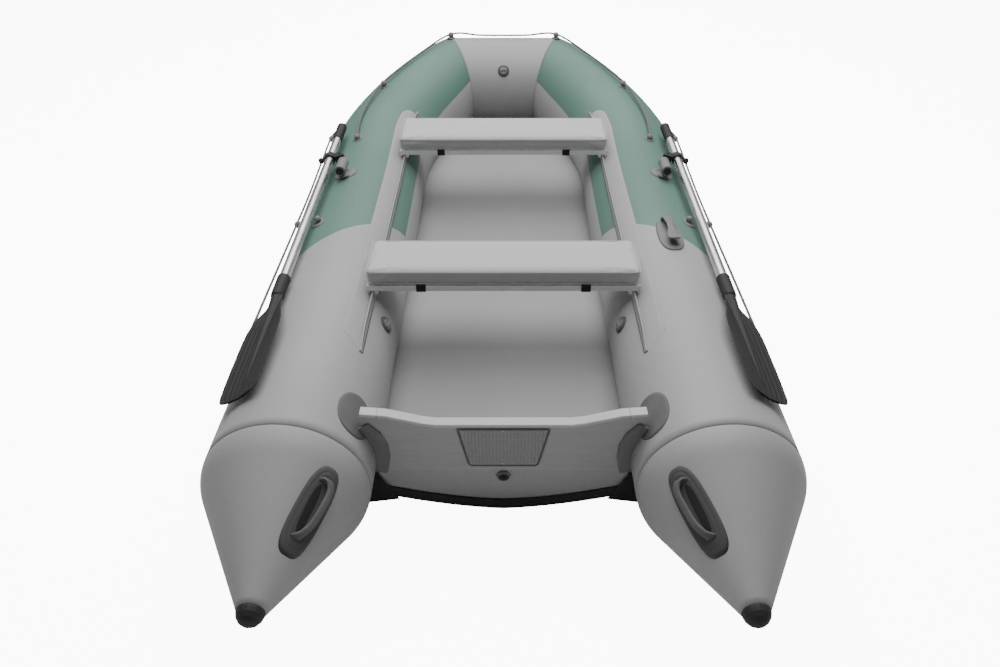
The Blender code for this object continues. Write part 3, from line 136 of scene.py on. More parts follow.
class TenderFittings(bpy.types.PropertyGroup):
    """Handles, holders, valves and ropes."""
    rubber: colour("Dark rubber", "Handles, holders and patches", (0.082, 0.080, 0.081))
    pad: colour("Grey rubber", "Anchor hook and lock bases", (0.20, 0.197, 0.198))
    rope: colour("Rope", "Lifelines", (0.10, 0.10, 0.10))
    rope_radius: length("Rope radius", "Half the lifeline's thickness", 0.0045)
    holder_radius: length("Holder radius", "Radius of a rope holder's base", 0.020)


class TenderStage(bpy.types.PropertyGroup):
    """Camera, floor and lights."""
    lens: bpy.props.FloatProperty(name="Lens", description="Focal length in millimetres",
                                  default=28.755, min=1.0)
    pitch: bpy.props.FloatProperty(name="Pitch", description="Camera's look down",
                                   default=math.radians(36.47), subtype="ANGLE")
    ground: colour("Ground", "Pale studio floor", (0.93, 0.93, 0.93))
    sky: bpy.props.FloatProperty(name="Sky light", description="Strength of the even light",
                                 default=0.14, min=0.0)
    key: bpy.props.FloatProperty(name="Overhead light", description="Power of the soft box",
                                 default=290.0, min=0.0, unit="POWER")
    glow: bpy.props.FloatProperty(name="Backdrop glow", description="Light of the white paper "
                                  "as it is seen, none of it falling on the boat",
                                  default=10.0, min=0.0)


# ------------------------------------------------------------- mesh helpers
def surface(name, points, wrap_u=False, wrap_v=False, caps=False, uv=None):
    """Object from a grid of points (rows u, columns v, xyz).

    Neighbouring rows and columns are joined by quads; wrap closes a direction on itself
    and caps draws the first and last rows together to a middle point.
    """
    rows, cols = points.shape[:2]
    index = np.arange(rows * cols).reshape(rows, cols)
    low = index if wrap_u else index[:-1]
    high = np.roll(index, -1, 0) if wrap_u else index[1:]
    if wrap_v:
        quads = np.stack([low, high, np.roll(high, -1, 1), np.roll(low, -1, 1)], -1)
    else:
        quads = np.stack([low[:, :-1], high[:, :-1], high[:, 1:], low[:, 1:]], -1)
    quads = quads.reshape(-1, 4)
    verts = points.reshape(-1, 3)
    faces = quads.tolist()
    if caps:
        middle = len(verts)
        verts = np.concatenate([verts, points[0].mean(0)[None], points[-1].mean(0)[None]])
        first = index[0]
        last = index[-1]
        ring = range(cols) if wrap_v else range(cols - 1)
        faces += [(middle, int(first[k]), int(first[(k + 1) % cols])) for k in ring]
        faces += [(middle + 1, int(last[(k + 1) % cols]), int(last[k])) for k in ring]
    mesh = bpy.data.meshes.new(name)
    mesh.from_pydata(verts.tolist(), [], faces)
    if uv is not None:
        layer = mesh.uv_layers.new(name="UVMap")
        loops = np.zeros(len(mesh.loops), np.int32)
        mesh.loops.foreach_get("vertex_index", loops)
        flat = uv.reshape(-1, 2)
        flat = np.concatenate([flat, uv[0, :1], uv[-1, :1]]) if caps else flat
        values = flat[loops]
        if wrap_v:
            start = quads.shape[0] * 4
            block = values[:start].reshape(-1, 4, 2)
            wide = block[:, :, 1].max(1) - block[:, :, 1].min(1) > 0.5
            block[wide, :, 1] += (block[wide, :, 1] < 0.25) * 1.0
            values[:start] = block.reshape(-1, 2)
        layer.data.foreach_set("uv", values.astype(np.float32).ravel())
    outward(mesh)
    mesh.shade_smooth()
    obj = bpy.data.objects.new(name, mesh)
    bpy.context.scene.collection.objects.link(obj)
    return obj


def outward(mesh):
    """Faces of a closed mesh made to point out."""
    bm = bmesh.new()
    bm.from_mesh(mesh)
    bmesh.ops.recalc_face_normals(bm, faces=bm.faces)
    bm.to_mesh(mesh)
    bm.free()


def unit(v):
    """Vectors of an array at length one."""
    return v / np.linalg.norm(v, axis=-1, keepdims=True)


def basis(z_axis, x_hint):
    """Rows x, y, z of a frame whose z is given and whose x is near the hint."""
    z = unit(np.array(z_axis, float))
    y = unit(np.cross(z, np.array(x_hint, float)))
    return np.stack([np.cross(y, z), y, z])


def turned(name, profile, place, axes, steps=48, lobes=0, depth=0.0, closed=False):
    """Profile of (radius, height) turned about z: x = r cos t, y = r sin t, z = h.

    Lobes scale the radius by 1 + depth cos(lobes t); closed joins the profile's ends.
    """
    rz = np.array(profile, float)
    t = np.linspace(0, 2 * np.pi, steps, endpoint=False)
    swell = 1 + depth * np.cos(lobes * t)
    local = np.stack([rz[:, :1] * np.cos(t) * swell, rz[:, :1] * np.sin(t) * swell,
                      np.repeat(rz[:, 1:], steps, 1)], -1)
    points = local @ np.asarray(axes) + np.array(place)
    return surface(name, points, wrap_u=closed, wrap_v=True, caps=not closed)


def swept(name, path, half_w, half_t, across, power=0.55, count=16):
    """Rounded section carried along a path.

    The section is (w sgn(cos t)|cos t|^q, h sgn(sin t)|sin t|^q), w along the across
    direction and h along the path's normal.
    """
    path = np.asarray(path, float)
    tangent = unit(np.gradient(path, axis=0))
    side = unit(np.broadcast_to(np.asarray(across, float), path.shape)
                - (tangent * np.asarray(across, float)).sum(-1, keepdims=True) * tangent)
    normal = np.cross(side, tangent)
    t = np.linspace(0, 2 * np.pi, count, endpoint=False)
    u = np.sign(np.cos(t)) * np.abs(np.cos(t)) ** power
    v = np.sign(np.sin(t)) * np.abs(np.sin(t)) ** power
    w = np.broadcast_to(np.asarray(half_w, float), len(path))[:, None, None]
    h = np.broadcast_to(np.asarray(half_t, float), len(path))[:, None, None]
    points = path[:, None] + w * u[None, :, None] * side[:, None]
    points = points + h * v[None, :, None] * normal[:, None]
    return surface(name, points, wrap_v=True, caps=True)


def smooth_path(points, count):
    """Catmull-Rom curve through the points, read at count even parameters."""
    p = np.asarray(points, float)
    p = np.concatenate([[2 * p[0] - p[1]], p, [2 * p[-1] - p[-2]]])
    t = np.linspace(0, len(p) - 3 - 1e-9, count)
    k = t.astype(int)
    f = (t - k)[:, None]
    a, b, c, d = p[k], p[k + 1], p[k + 2], p[k + 3]
    return 0.5 * (2 * b + (c - a) * f + (2 * a - 5 * b + 4 * c - d) * f**2
                  + (3 * b - a - 3 * c + d) * f**3)


def mirror(points):
    """Port copy of an array of points."""
    return points * np.array([-1.0, 1.0, 1.0])


def finish_piece(obj, body, slot, look, *nodes):
    """Rides the piece on its body, gives it its finish and hides the CAD nodes; the slot is not
    used.
    """
    obj.data.materials.clear()
    obj.data.materials.append(look)
    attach(obj, body)
    if nodes:
        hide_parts(*nodes)
    return obj


def solid(obj, thickness, offset=-1.0):
    """Gives an open sheet its thickness."""
    wall = obj.modifiers.new("wall", "SOLIDIFY")
    wall.thickness = thickness
    wall.offset = offset
    return obj


# ------------------------------------------------------------- the hull's line
def hull_frame(p):
    """Middle, outboard and upward directions of the starboard tube at stations p.

    Straight at x = HALF, then a cubic Bezier in plan; the middle rises as
    BOW_RISE ((s - s0) / SHEER_LEN)^2 past s0.
    """
    p = np.asarray(p, float)
    quarter = BOW_S - QUARTER_S
    t = np.clip((p - QUARTER_S) / quarter, 0, 1)[..., None]
    q = np.array([(HALF, QUARTER_S), (HALF, QUARTER_S + 0.38 * quarter),
                  (BOW_HALF + 0.208 * math.cos(BOW_TURN), BOW_S - 0.208 * math.sin(BOW_TURN)),
                  (BOW_HALF, BOW_S)])
    u = 1 - t
    spot = u**3 * q[0] + 3 * u * u * t * q[1] + 3 * u * t * t * q[2] + t**3 * q[3]
    way = u * u * (q[1] - q[0]) + 2 * u * t * (q[2] - q[1]) + t * t * (q[3] - q[2])
    way = unit(way)
    s = np.where(p < QUARTER_S, p, spot[..., 1])
    rise = np.clip((s - BOW_S + SHEER_LEN) / SHEER_LEN, 0, None)
    z = TUBE_R + BOW_RISE * rise**2
    slope = 2 * BOW_RISE * rise / SHEER_LEN
    middle = np.stack([np.where(p < QUARTER_S, HALF, spot[..., 0]), s + TIP_Y, z], -1)
    tangent = unit(np.stack([way[..., 0], way[..., 1], slope * way[..., 1]], -1))
    side = unit(np.cross(tangent, [0.0, 0.0, 1.0]))
    return middle, tangent, side, np.cross(side, tangent)


def hull_radius(s):
    """Tube radius, and behind the seam the cone's: straight with a round shoulder."""
    s = np.asarray(s, float)
    slope = (TUBE_R - TIP_R) / (SEAM_S - SHOULDER / 2)
    cone = np.where(s < SEAM_S - SHOULDER, TIP_R + slope * s,
                    TUBE_R - slope * (SEAM_S - s) ** 2 / (2 * SHOULDER))
    return np.where(s < SEAM_S, cone, TUBE_R)


def hull_point(s, phi, lift=0.0):
    """Point on the starboard hull, phi degrees outboard of the top, lift above it."""
    s, phi, lift = np.broadcast_arrays(np.asarray(s, float), np.asarray(phi, float), lift)
    middle, tangent, side, up = hull_frame(s)
    a = np.radians(phi)[..., None]
    r = (hull_radius(s) + lift)[..., None]
    return middle + r * (np.sin(a) * side + np.cos(a) * up)


def hull_out(s, phi):
    """Direction out of the hull at station s and angle phi; on a cone it leans aft."""
    ahead = hull_point(s + 1e-3, phi) - hull_point(s - 1e-3, phi)
    round_ = hull_point(s, phi + 0.1) - hull_point(s, phi - 0.1)
    return unit(np.cross(round_, ahead))


def pad_on_hull(name, s, phi, along, across, height, power=2.0, edge=0.25, rings=14, lean=0.0):
    """Oval pad on the hull: |u|^n + |v|^n = rho^n, lifted by a rounded height over rho.

    Height rises as h (1 - max(0, (rho - 1 + e) / e)^2)^0.5 from the rim inwards.
    """
    rho = np.linspace(0.02, 1.0, rings)
    t = np.linspace(0, 2 * np.pi, 56, endpoint=False)
    q = 2.0 / power
    u = np.sign(np.cos(t)) * np.abs(np.cos(t)) ** q
    v = np.sign(np.sin(t)) * np.abs(np.sin(t)) ** q
    over = np.clip((rho - 1 + edge) / edge, 0, 1)
    lift = height * np.sqrt(np.clip(1 - over**2, 0, 1))
    rho = np.concatenate([rho, [0.98]])
    lift = np.concatenate([lift, [-0.0008]])
    du = rho[:, None] * u * along
    dv = rho[:, None] * v * across
    stations = s + du * math.cos(lean) - dv * math.sin(lean)
    turn = np.degrees((du * math.sin(lean) + dv * math.cos(lean)) / hull_radius(stations))
    points = hull_point(stations, phi + turn, lift[:, None])
    return surface(name, points, wrap_v=True, caps=True)


# ------------------------------------------------------------- node helpers
def put(tree, kind, inputs=(), **props):
    """Adds a shader node; inputs hold sockets to link or plain values."""
    node = tree.nodes.new("ShaderNode" + kind)
    for key, value in props.items():
        setattr(node, key, value)
    pairs = inputs.items() if isinstance(inputs, dict) else enumerate(inputs)
    for slot, value in pairs:
        if isinstance(value, bpy.types.NodeSocket):
            tree.links.new(value, node.inputs[slot])
        elif value is not None:
            node.inputs[slot].default_value = value
    return node


def calc(tree, operation, *inputs):
    """Math node's output."""
    return put(tree, "Math", inputs, operation=operation).outputs[0]


def blend_colour(tree, factor, low, high, mode="MIX"):
    """Colour mixed from low to high by a factor."""
    node = put(tree, "Mix", {0: factor, 6: low, 7: high}, data_type="RGBA", blend_type=mode)
    return node.outputs[2]


def ramp(tree, value, low, high, to_low=0.0, to_high=1.0):
    """Value read from one range into another with smooth ends."""
    node = put(tree, "MapRange", {0: value, 1: low, 2: high, 3: to_low, 4: to_high},
               interpolation_type="SMOOTHSTEP")
    return node.outputs[0]


def new_group(name, inputs, outputs):
    """Node group with its sockets, its input and output nodes."""
    tree = bpy.data.node_groups.new(name, "ShaderNodeTree")
    for label, kind, value in inputs:
        socket = tree.interface.new_socket(label, in_out="INPUT", socket_type="NodeSocket" + kind)
        if value is not None:
            socket.default_value = value
    for label, kind in outputs:
        tree.interface.new_socket(label, in_out="OUTPUT", socket_type="NodeSocket" + kind)
    return tree, tree.nodes.new("NodeGroupInput"), tree.nodes.new("NodeGroupOutput")


def weave_group():
    """Coated cloth: crossed threads under the coating, soft creases and blotches of lighter and
    darker tone.
    """
    tree, go, out = new_group("Coated weave", [("Vector", "Vector", None),
                                               ("Threads", "Float", 700.0),
                                               ("Creases", "Float", 5.0)],
                              [("Height", "Float"), ("Shade", "Float")])
    xyz = put(tree, "SeparateXYZ", [go.outputs["Vector"]])
    threads = []
    for axis in (0, 1, 2):
        turn = calc(tree, "MULTIPLY", xyz.outputs[axis], go.outputs["Threads"])
        threads.append(calc(tree, "SINE", calc(tree, "MULTIPLY", turn, 6.283)))
    cloth = calc(tree, "MULTIPLY", threads[0], threads[1])
    cloth = calc(tree, "ADD", cloth, calc(tree, "MULTIPLY", threads[1], threads[2]))
    fine = put(tree, "TexNoise", {"Vector": go.outputs["Vector"], "Scale": 260.0, "Detail": 3.0})
    soft = put(tree, "TexNoise", {"Vector": go.outputs["Vector"], "Scale": go.outputs["Creases"],
                                  "Detail": 2.0, "Distortion": 0.4})
    height = calc(tree, "MULTIPLY", cloth, 0.012)
    height = calc(tree, "ADD", height, calc(tree, "MULTIPLY", fine.outputs[0], 0.10))
    height = calc(tree, "ADD", height, calc(tree, "MULTIPLY", soft.outputs[0], 1.1))
    tree.links.new(height, out.inputs["Height"])
    blotch = put(tree, "TexNoise", {"Vector": go.outputs["Vector"], "Scale": 1.7, "Detail": 5.0})
    shade = calc(tree, "ADD", calc(tree, "MULTIPLY", blotch.outputs[0], 0.6),
                 calc(tree, "MULTIPLY", fine.outputs[0], 0.4))
    tree.links.new(ramp(tree, shade, 0.3, 0.7, 0.0, 1.0), out.inputs["Shade"])
    return tree


def grain_group():
    """Moulded skin: pebbled grain, flow marks and a little dust."""
    tree, go, out = new_group("Moulded grain", [("Vector", "Vector", None),
                                                ("Grain", "Float", 900.0)],
                              [("Height", "Float"), ("Dust", "Float")])
    cells = put(tree, "TexVoronoi", {"Vector": go.outputs["Vector"], "Scale": go.outputs["Grain"]})
    flow = put(tree, "TexNoise", {"Vector": go.outputs["Vector"], "Scale": 35.0, "Detail": 4.0})
    height = calc(tree, "ADD", calc(tree, "MULTIPLY", cells.outputs[0], 0.25),
                  calc(tree, "MULTIPLY", flow.outputs[0], 0.35))
    tree.links.new(height, out.inputs["Height"])
    dust = put(tree, "TexNoise", {"Vector": go.outputs["Vector"], "Scale": 14.0, "Detail": 6.0})
    tree.links.new(ramp(tree, dust.outputs[0], 0.45, 0.75), out.inputs["Dust"])
    return tree


def group_node(tree, name, maker, values):
    """Places a shared group, making it the first time."""
    group = bpy.data.node_groups.get(name) or maker()
    node = tree.nodes.new("ShaderNodeGroup")
    node.node_tree = group
    for label, value in values.items():
        if isinstance(value, bpy.types.NodeSocket):
            tree.links.new(value, node.inputs[label])
        else:
            node.inputs[label].default_value = value
    return node


def new_material(name, base, roughness, metallic=0.0, specular=0.5, sheen=0.0):
    """Material with a Principled shader and Object coordinates."""
    mat = bpy.data.materials.new(name)
    mat.use_nodes = True
    tree = mat.node_tree
    shader = tree.nodes["Principled BSDF"]
    shader.inputs["Base Color"].default_value = (*base, 1.0)
    shader.inputs["Roughness"].default_value = roughness
    shader.inputs["Metallic"].default_value = metallic
    shader.inputs["Specular IOR Level"].default_value = specular
    shader.inputs["Sheen Weight"].default_value = sheen
    coords = tree.nodes.new("ShaderNodeTexCoord")
    return mat, tree, shader, coords


def bump(tree, shader, height, strength, distance):
    """Bump from a height into the shader's normal."""
    node = put(tree, "Bump", {"Strength": strength, "Distance": distance, "Height": height})
    tree.links.new(node.outputs[0], shader.inputs["Normal"])


def cloth_colour(tree, shader, weave, base, spread=0.10):
    """Colour a little lighter and darker with the cloth's shade."""
    dark = tuple(c * (1 - spread) for c in base) + (1.0,)
    light = tuple(min(1.0, c * (1 + spread * 0.7)) for c in base) + (1.0,)
    return blend_colour(tree, weave.outputs["Shade"], dark, light)


def fabric(name, base, roughness=0.58, creases=5.0, depth=0.0009, spread=0.08):
    """Coated boat fabric."""
    mat, tree, shader, coords = new_material(name, base, roughness, specular=0.42, sheen=0.04)
    weave = group_node(tree, "Coated weave", weave_group,
                       {"Vector": coords.outputs["Object"], "Creases": creases})
    tree.links.new(cloth_colour(tree, shader, weave, base, spread), shader.inputs["Base Color"])
    rough = ramp(tree, weave.outputs["Shade"], 0.0, 1.0, roughness + 0.05, roughness - 0.05)
    tree.links.new(rough, shader.inputs["Roughness"])
    bump(tree, shader, weave.outputs["Height"], 0.55, depth)
    return mat


def line_mask(tree, value, place, half):
    """One on a thin line where value equals place, fading over half its width."""
    off = calc(tree, "ABSOLUTE", calc(tree, "SUBTRACT", value, place))
    return ramp(tree, off, half * 0.4, half, 1.0, 0.0)


def hull_fabric(hull):
    """Side tubes: green forward of a slanting seam and above the wraps, grey elsewhere.

    The map's U is the station in metres and V is the angle round the tube over 360.
    """
    mat, tree, shader, coords = new_material("hull_sides", hull.grey, 0.56, specular=0.42,
                                             sheen=0.04)
    weave = group_node(tree, "Coated weave", weave_group,
                       {"Vector": coords.outputs["Object"], "Creases": 4.0})
    xyz = put(tree, "SeparateXYZ", [coords.outputs["Object"]])
    uvw = put(tree, "SeparateXYZ", [coords.outputs["UV"]])
    around = uvw.outputs[1]
    wide = calc(tree, "MULTIPLY", calc(tree, "ABSOLUTE", xyz.outputs[0]), 0.95)
    slant = calc(tree, "ADD", xyz.outputs[1], wide)
    start = 1.36 + 0.95 * HALF + TIP_Y
    ahead = ramp(tree, slant, start - 0.0006, start + 0.0006)
    low = 0.5 - 66.0 / 360
    high = 0.5 + 97.0 / 360
    inner = ramp(tree, around, low - 0.0006, low + 0.0006)
    outer = ramp(tree, around, high - 0.0006, high + 0.0006, 1.0, 0.0)
    green = calc(tree, "MULTIPLY", calc(tree, "MULTIPLY", ahead, inner), outer)
    seams = line_mask(tree, slant, start, hull.seam)
    wraps = calc(tree, "MAXIMUM", line_mask(tree, around, low, 0.0022),
                 line_mask(tree, around, high, 0.0022))
    seams = calc(tree, "MAXIMUM", seams, calc(tree, "MULTIPLY", wraps, ahead))
    near = calc(tree, "SUBTRACT", uvw.outputs[0], SEAM_S)
    seams = calc(tree, "MAXIMUM", seams, line_mask(tree, near, 0.0, hull.seam))
    grey_tone = cloth_colour(tree, shader, weave, hull.grey, 0.06)
    green_tone = cloth_colour(tree, shader, weave, hull.green, 0.07)
    tone = blend_colour(tree, green, grey_tone, green_tone)
    faint = calc(tree, "MULTIPLY", seams, 0.30)
    tone = blend_colour(tree, faint, tone, (0.10, 0.11, 0.11, 1.0))
    tree.links.new(tone, shader.inputs["Base Color"])
    rough = ramp(tree, weave.outputs["Shade"], 0.0, 1.0, 0.60, 0.50)
    tree.links.new(rough, shader.inputs["Roughness"])
    height = calc(tree, "ADD", weave.outputs["Height"], calc(tree, "MULTIPLY", seams, -0.35))
    bump(tree, shader, height, 0.55, 0.0011)
    return mat


def rubber(name, base, roughness=0.62, grain=900.0):
    """Moulded rubber or plastic with a pebbled skin and a little dust."""
    mat, tree, shader, coords = new_material(name, base, roughness, specular=0.28)
    grainy = group_node(tree, "Moulded grain", grain_group,
                        {"Vector": coords.outputs["Object"], "Grain": grain})
    dusty = tuple(c * 1.12 + 0.004 for c in base) + (1.0,)
    tone = blend_colour(tree, grainy.outputs["Dust"], (*base, 1.0), dusty)
    tree.links.new(tone, shader.inputs["Base Color"])
    rough = ramp(tree, grainy.outputs["Dust"], 0.0, 1.0, roughness - 0.06, roughness + 0.12)
    tree.links.new(rough, shader.inputs["Roughness"])
    bump(tree, shader, grainy.outputs["Height"], 0.5, 0.0006)
    return mat


def brushed(name, base):
    """Anodised tube: fine scratches along the boat and darker handling marks."""
    mat, tree, shader, coords = new_material(name, base, 0.3, metallic=1.0)
    long = put(tree, "Mapping", {"Vector": coords.outputs["Object"], "Scale": (240.0, 3.0, 240.0)})
    lines = put(tree, "TexNoise", {"Vector": long.outputs[0], "Scale": 1.0, "Detail": 4.0})
    marks = put(tree, "TexNoise", {"Vector": coords.outputs["Object"], "Scale": 9.0})
    low = tuple(c * 0.86 for c in base) + (1.0,)
    tone = blend_colour(tree, ramp(tree, marks.outputs[0], 0.35, 0.7), low, (*base, 1.0))
    tree.links.new(tone, shader.inputs["Base Color"])
    rough = ramp(tree, lines.outputs[0], 0.3, 0.7, 0.24, 0.40)
    tree.links.new(rough, shader.inputs["Roughness"])
    bump(tree, shader, lines.outputs[0], 0.25, 0.0003)
    return mat


def painted(name, base, roughness=0.42, lap=None, lap_shade=0.9, joints=()):
    """Painted board with faint grain; lap darkens it below a height, with a painted highlight along
    its top edge; joints draw lines.
    """
    mat, tree, shader, coords = new_material(name, base, roughness, specular=0.45)
    long = put(tree, "Mapping", {"Vector": coords.outputs["Object"], "Scale": (6.0, 90.0, 90.0)})
    wood = put(tree, "TexNoise", {"Vector": long.outputs[0], "Scale": 1.0, "Detail": 5.0})
    low = tuple(c * 0.93 for c in base) + (1.0,)
    tone = blend_colour(tree, ramp(tree, wood.outputs[0], 0.35, 0.65), low, (*base, 1.0))
    height = calc(tree, "MULTIPLY", wood.outputs[0], 0.4)
    xyz = put(tree, "SeparateXYZ", [coords.outputs["Object"]])
    if lap is not None:
        under = ramp(tree, xyz.outputs[2], lap - 0.001, lap + 0.001, 1.0, 0.0)
        dark = tuple(c * lap_shade for c in base) + (1.0,)
        tone = blend_colour(tree, under, tone, dark)
        # painted highlight: a lighter line along the lap's top edge, standing in for the light
        # caught by the lap's step on the flat board
        edge = line_mask(tree, xyz.outputs[2], lap, 0.002)
        tone = blend_colour(tree, calc(tree, "MULTIPLY", edge, 0.35), tone,
                            tuple(min(1, c * 1.5) for c in base) + (1.0,))
        height = calc(tree, "ADD", height, calc(tree, "MULTIPLY", under, 0.8))
    for x in joints:
        cut = line_mask(tree, calc(tree, "ABSOLUTE", xyz.outputs[0]), x, 0.0016)
        tone = blend_colour(tree, calc(tree, "MULTIPLY", cut, 0.55), tone, (0.1, 0.1, 0.1, 1.0))
    tree.links.new(tone, shader.inputs["Base Color"])
    rough = ramp(tree, wood.outputs[0], 0.3, 0.7, roughness - 0.05, roughness + 0.08)
    tree.links.new(rough, shader.inputs["Roughness"])
    bump(tree, shader, height, 0.4, 0.0008)
    return mat


def grid_pad(name, base):
    """Plastic pad pressed with a square grid; its grooves are coloured darker as painted shade."""
    mat, tree, shader, coords = new_material(name, base, 0.6, specular=0.35)
    xyz = put(tree, "SeparateXYZ", [coords.outputs["Object"]])
    cells = []
    for axis in (0, 2):
        step = calc(tree, "FRACT", calc(tree, "MULTIPLY", xyz.outputs[axis], 105.0))
        off = calc(tree, "ABSOLUTE", calc(tree, "SUBTRACT", step, 0.5))
        cells.append(ramp(tree, off, 0.34, 0.47))
    groove_and_painted_shade = calc(tree, "MAXIMUM", cells[0], cells[1])
    # painted shade: the grooves are coloured darker (0.8 of the pad) for the shade that falls in
    # them; the same mask also drives roughness and the groove bump
    tone = blend_colour(tree, groove_and_painted_shade, (*base, 1.0), tuple(c * 0.8 for c in base) + (1.0,))
    tree.links.new(tone, shader.inputs["Base Color"])
    rough = ramp(tree, groove_and_painted_shade, 0.0, 1.0, 0.52, 0.75)
    tree.links.new(rough, shader.inputs["Roughness"])
    bump(tree, shader, calc(tree, "MULTIPLY", groove_and_painted_shade, -1.0), 0.7, 0.0012)
    return mat


def woven(name, base, along=0, pitch=0.0022):
    """Webbing or rope: slanting strands on object coordinates."""
    mat, tree, shader, coords = new_material(name, base, 0.85, specular=0.2, sheen=0.2)
    xyz = put(tree, "SeparateXYZ", [coords.outputs["Object"]])
    span = 6.283 / pitch
    slant = calc(tree, "ADD", xyz.outputs[1], calc(tree, "MULTIPLY", xyz.outputs[along], 0.8))
    back = calc(tree, "SUBTRACT", xyz.outputs[1], calc(tree, "MULTIPLY", xyz.outputs[2], 0.8))
    one = calc(tree, "SINE", calc(tree, "MULTIPLY", slant, span))
    two = calc(tree, "SINE", calc(tree, "MULTIPLY", back, span))
    strand = calc(tree, "MULTIPLY", calc(tree, "ADD", one, two), 0.5)
    light = tuple(min(1.0, c * 1.9 + 0.01) for c in base) + (1.0,)
    tone = blend_colour(tree, ramp(tree, strand, -0.6, 0.8), (*base, 1.0), light)
    tree.links.new(tone, shader.inputs["Base Color"])
    bump(tree, shader, strand, 0.6, 0.0008)
    return mat


def look(key):
    """Finish by name, made once."""
    found = bpy.data.materials.get(key)
    if found:
        return found
    scene = bpy.context.scene
    hull, seats = scene.tender_hull, scene.tender_seats
    oars, fittings = scene.tender_oars, scene.tender_fittings
    makers = {
        "hull_sides": lambda: hull_fabric(hull),
        "grey_fabric": lambda: fabric("grey_fabric", tuple(hull.grey)),
        "floor_fabric": lambda: fabric("floor_fabric", tuple(hull.floor), 0.6, 3.0, 0.0008),
        "rail_fabric": lambda: fabric("rail_fabric", tuple(hull.grey)),
        "cushion_cover": lambda: fabric("cushion_cover", tuple(seats.cover), 0.5, 14.0, 0.0007,
                                        0.05),
        "plank_paint": lambda: painted("plank_paint", tuple(seats.plank), 0.38),
        "board_paint": lambda: painted("board_paint", (0.43, 0.422, 0.425), 0.5, lap=0.168,
                                       lap_shade=0.94),
        "bracket_rubber": lambda: rubber("bracket_rubber", (0.20, 0.197, 0.198), 0.7, 600.0),
        "cap_plastic": lambda: painted("cap_plastic", (0.55, 0.544, 0.546), 0.4,
                                       joints=(0.331,)),
        "grid_plastic": lambda: grid_pad("grid_plastic", (0.35, 0.345, 0.347)),
        "patch_rubber": lambda: rubber("patch_rubber", (0.135, 0.133, 0.134), 0.7, 600.0),
        "black_plastic": lambda: rubber("black_plastic", tuple(oars.plastic), 0.42, 1400.0),
        "dark_rubber": lambda: rubber("dark_rubber", tuple(fittings.rubber)),
        "grey_rubber": lambda: rubber("grey_rubber", tuple(fittings.pad)),
        "black_rubber": lambda: rubber("black_rubber", (0.028, 0.027, 0.028), 0.65, 500.0),
        "valve_plastic": lambda: rubber("valve_plastic", (0.10, 0.10, 0.10), 0.45, 1200.0),
        "handle_rubber": lambda: rubber("handle_rubber", (0.12, 0.118, 0.119), 0.6, 700.0),
        "cap_grey": lambda: rubber("cap_grey", (0.24, 0.24, 0.24), 0.4, 1200.0),
        "oar_metal": lambda: brushed("oar_metal", tuple(oars.metal)),
        "webbing": lambda: woven("webbing", (0.010, 0.010, 0.010)),
        "rope_braid": lambda: woven("rope_braid", tuple(fittings.rope), 2, 0.006),
    }
    return makers[key]()


def dress(key, *nodes):
    """Gives CAD nodes a finish."""
    for node in nodes:
        obj = frame["nodes"][node]
        obj.data.materials.clear()
        obj.data.materials.append(look(key))


# ------------------------------------------------------------- operators
class TenderOperator(bpy.types.Operator):
    """Shared options of the tender's operators."""
    bl_options = {"REGISTER", "UNDO"}


class TENDER_OT_stage(TenderOperator):
    """Camera behind and above the stern, pale floor and soft light."""
    bl_idname = "tender.stage"
    bl_label = "Stage"

    def execute(self, context):
        stage = context.scene.tender_stage
        data = bpy.data.cameras.new("camera")
        data.lens = stage.lens
        data.sensor_width = 36.0
        data.shift_x = -0.0035
        data.shift_y = 0.0016
        camera = bpy.data.objects.new("camera", data)
        camera.location = (0.0, TIP_Y - 1.0765, 1.7927)
        camera.rotation_euler = (math.pi / 2 - stage.pitch, 0.0, 0.0)
        context.scene.collection.objects.link(camera)
        context.scene.camera = camera
        x, y = np.meshgrid(np.linspace(-30, 30, 2), np.linspace(-30, 30, 2))
        floor = surface("studio_floor", np.stack([x, y, np.full_like(x, -0.0004)], -1))
        floor.data.flip_normals()
        mat, tree, shader, coords = new_material("studio_paper", stage.ground, 0.9, specular=0.1)
        tint = put(tree, "TexNoise", {"Vector": coords.outputs["Object"], "Scale": 0.6})
        tone = blend_colour(tree, tint.outputs[0], (*[c * 0.995 for c in stage.ground], 1),
                            (*stage.ground, 1))
        tree.links.new(tone, shader.inputs["Base Color"])
        shader.inputs["Emission Color"].default_value = (1.0, 1.0, 1.0, 1.0)
        seen = tree.nodes.new("ShaderNodeLightPath").outputs["Is Camera Ray"]
        tree.links.new(calc(tree, "MULTIPLY", seen, stage.glow), shader.inputs["Emission Strength"])
        floor.data.materials.append(mat)
        world = bpy.data.worlds.new("studio")
        world.use_nodes = True
        world.node_tree.nodes["Background"].inputs[0].default_value = (1.0, 1.0, 1.0, 1.0)
        world.node_tree.nodes["Background"].inputs[1].default_value = stage.sky
        context.scene.world = world
        self.soft_box(context, "overhead", (0.0, 0.9, 4.2), 4.6, stage.key, (0.0, 0.0, 0.0))
        self.soft_box(context, "bow_side", (0.0, 5.2, 3.4), 3.2, stage.key * 0.28, (0.0, 0.6, 0.2))
        return {"FINISHED"}

    def soft_box(self, context, name, place, size, power, aim):
        """Square area light turned towards a point."""
        data = bpy.data.lights.new(name, "AREA")
        data.shape = "SQUARE"
        data.size = size
        data.energy = power
        lamp = bpy.data.objects.new(name, data)
        lamp.location = place
        way = Vector(aim) - Vector(place)
        lamp.rotation_euler = way.to_track_quat("-Z", "Y").to_euler()
        context.scene.collection.objects.link(lamp)


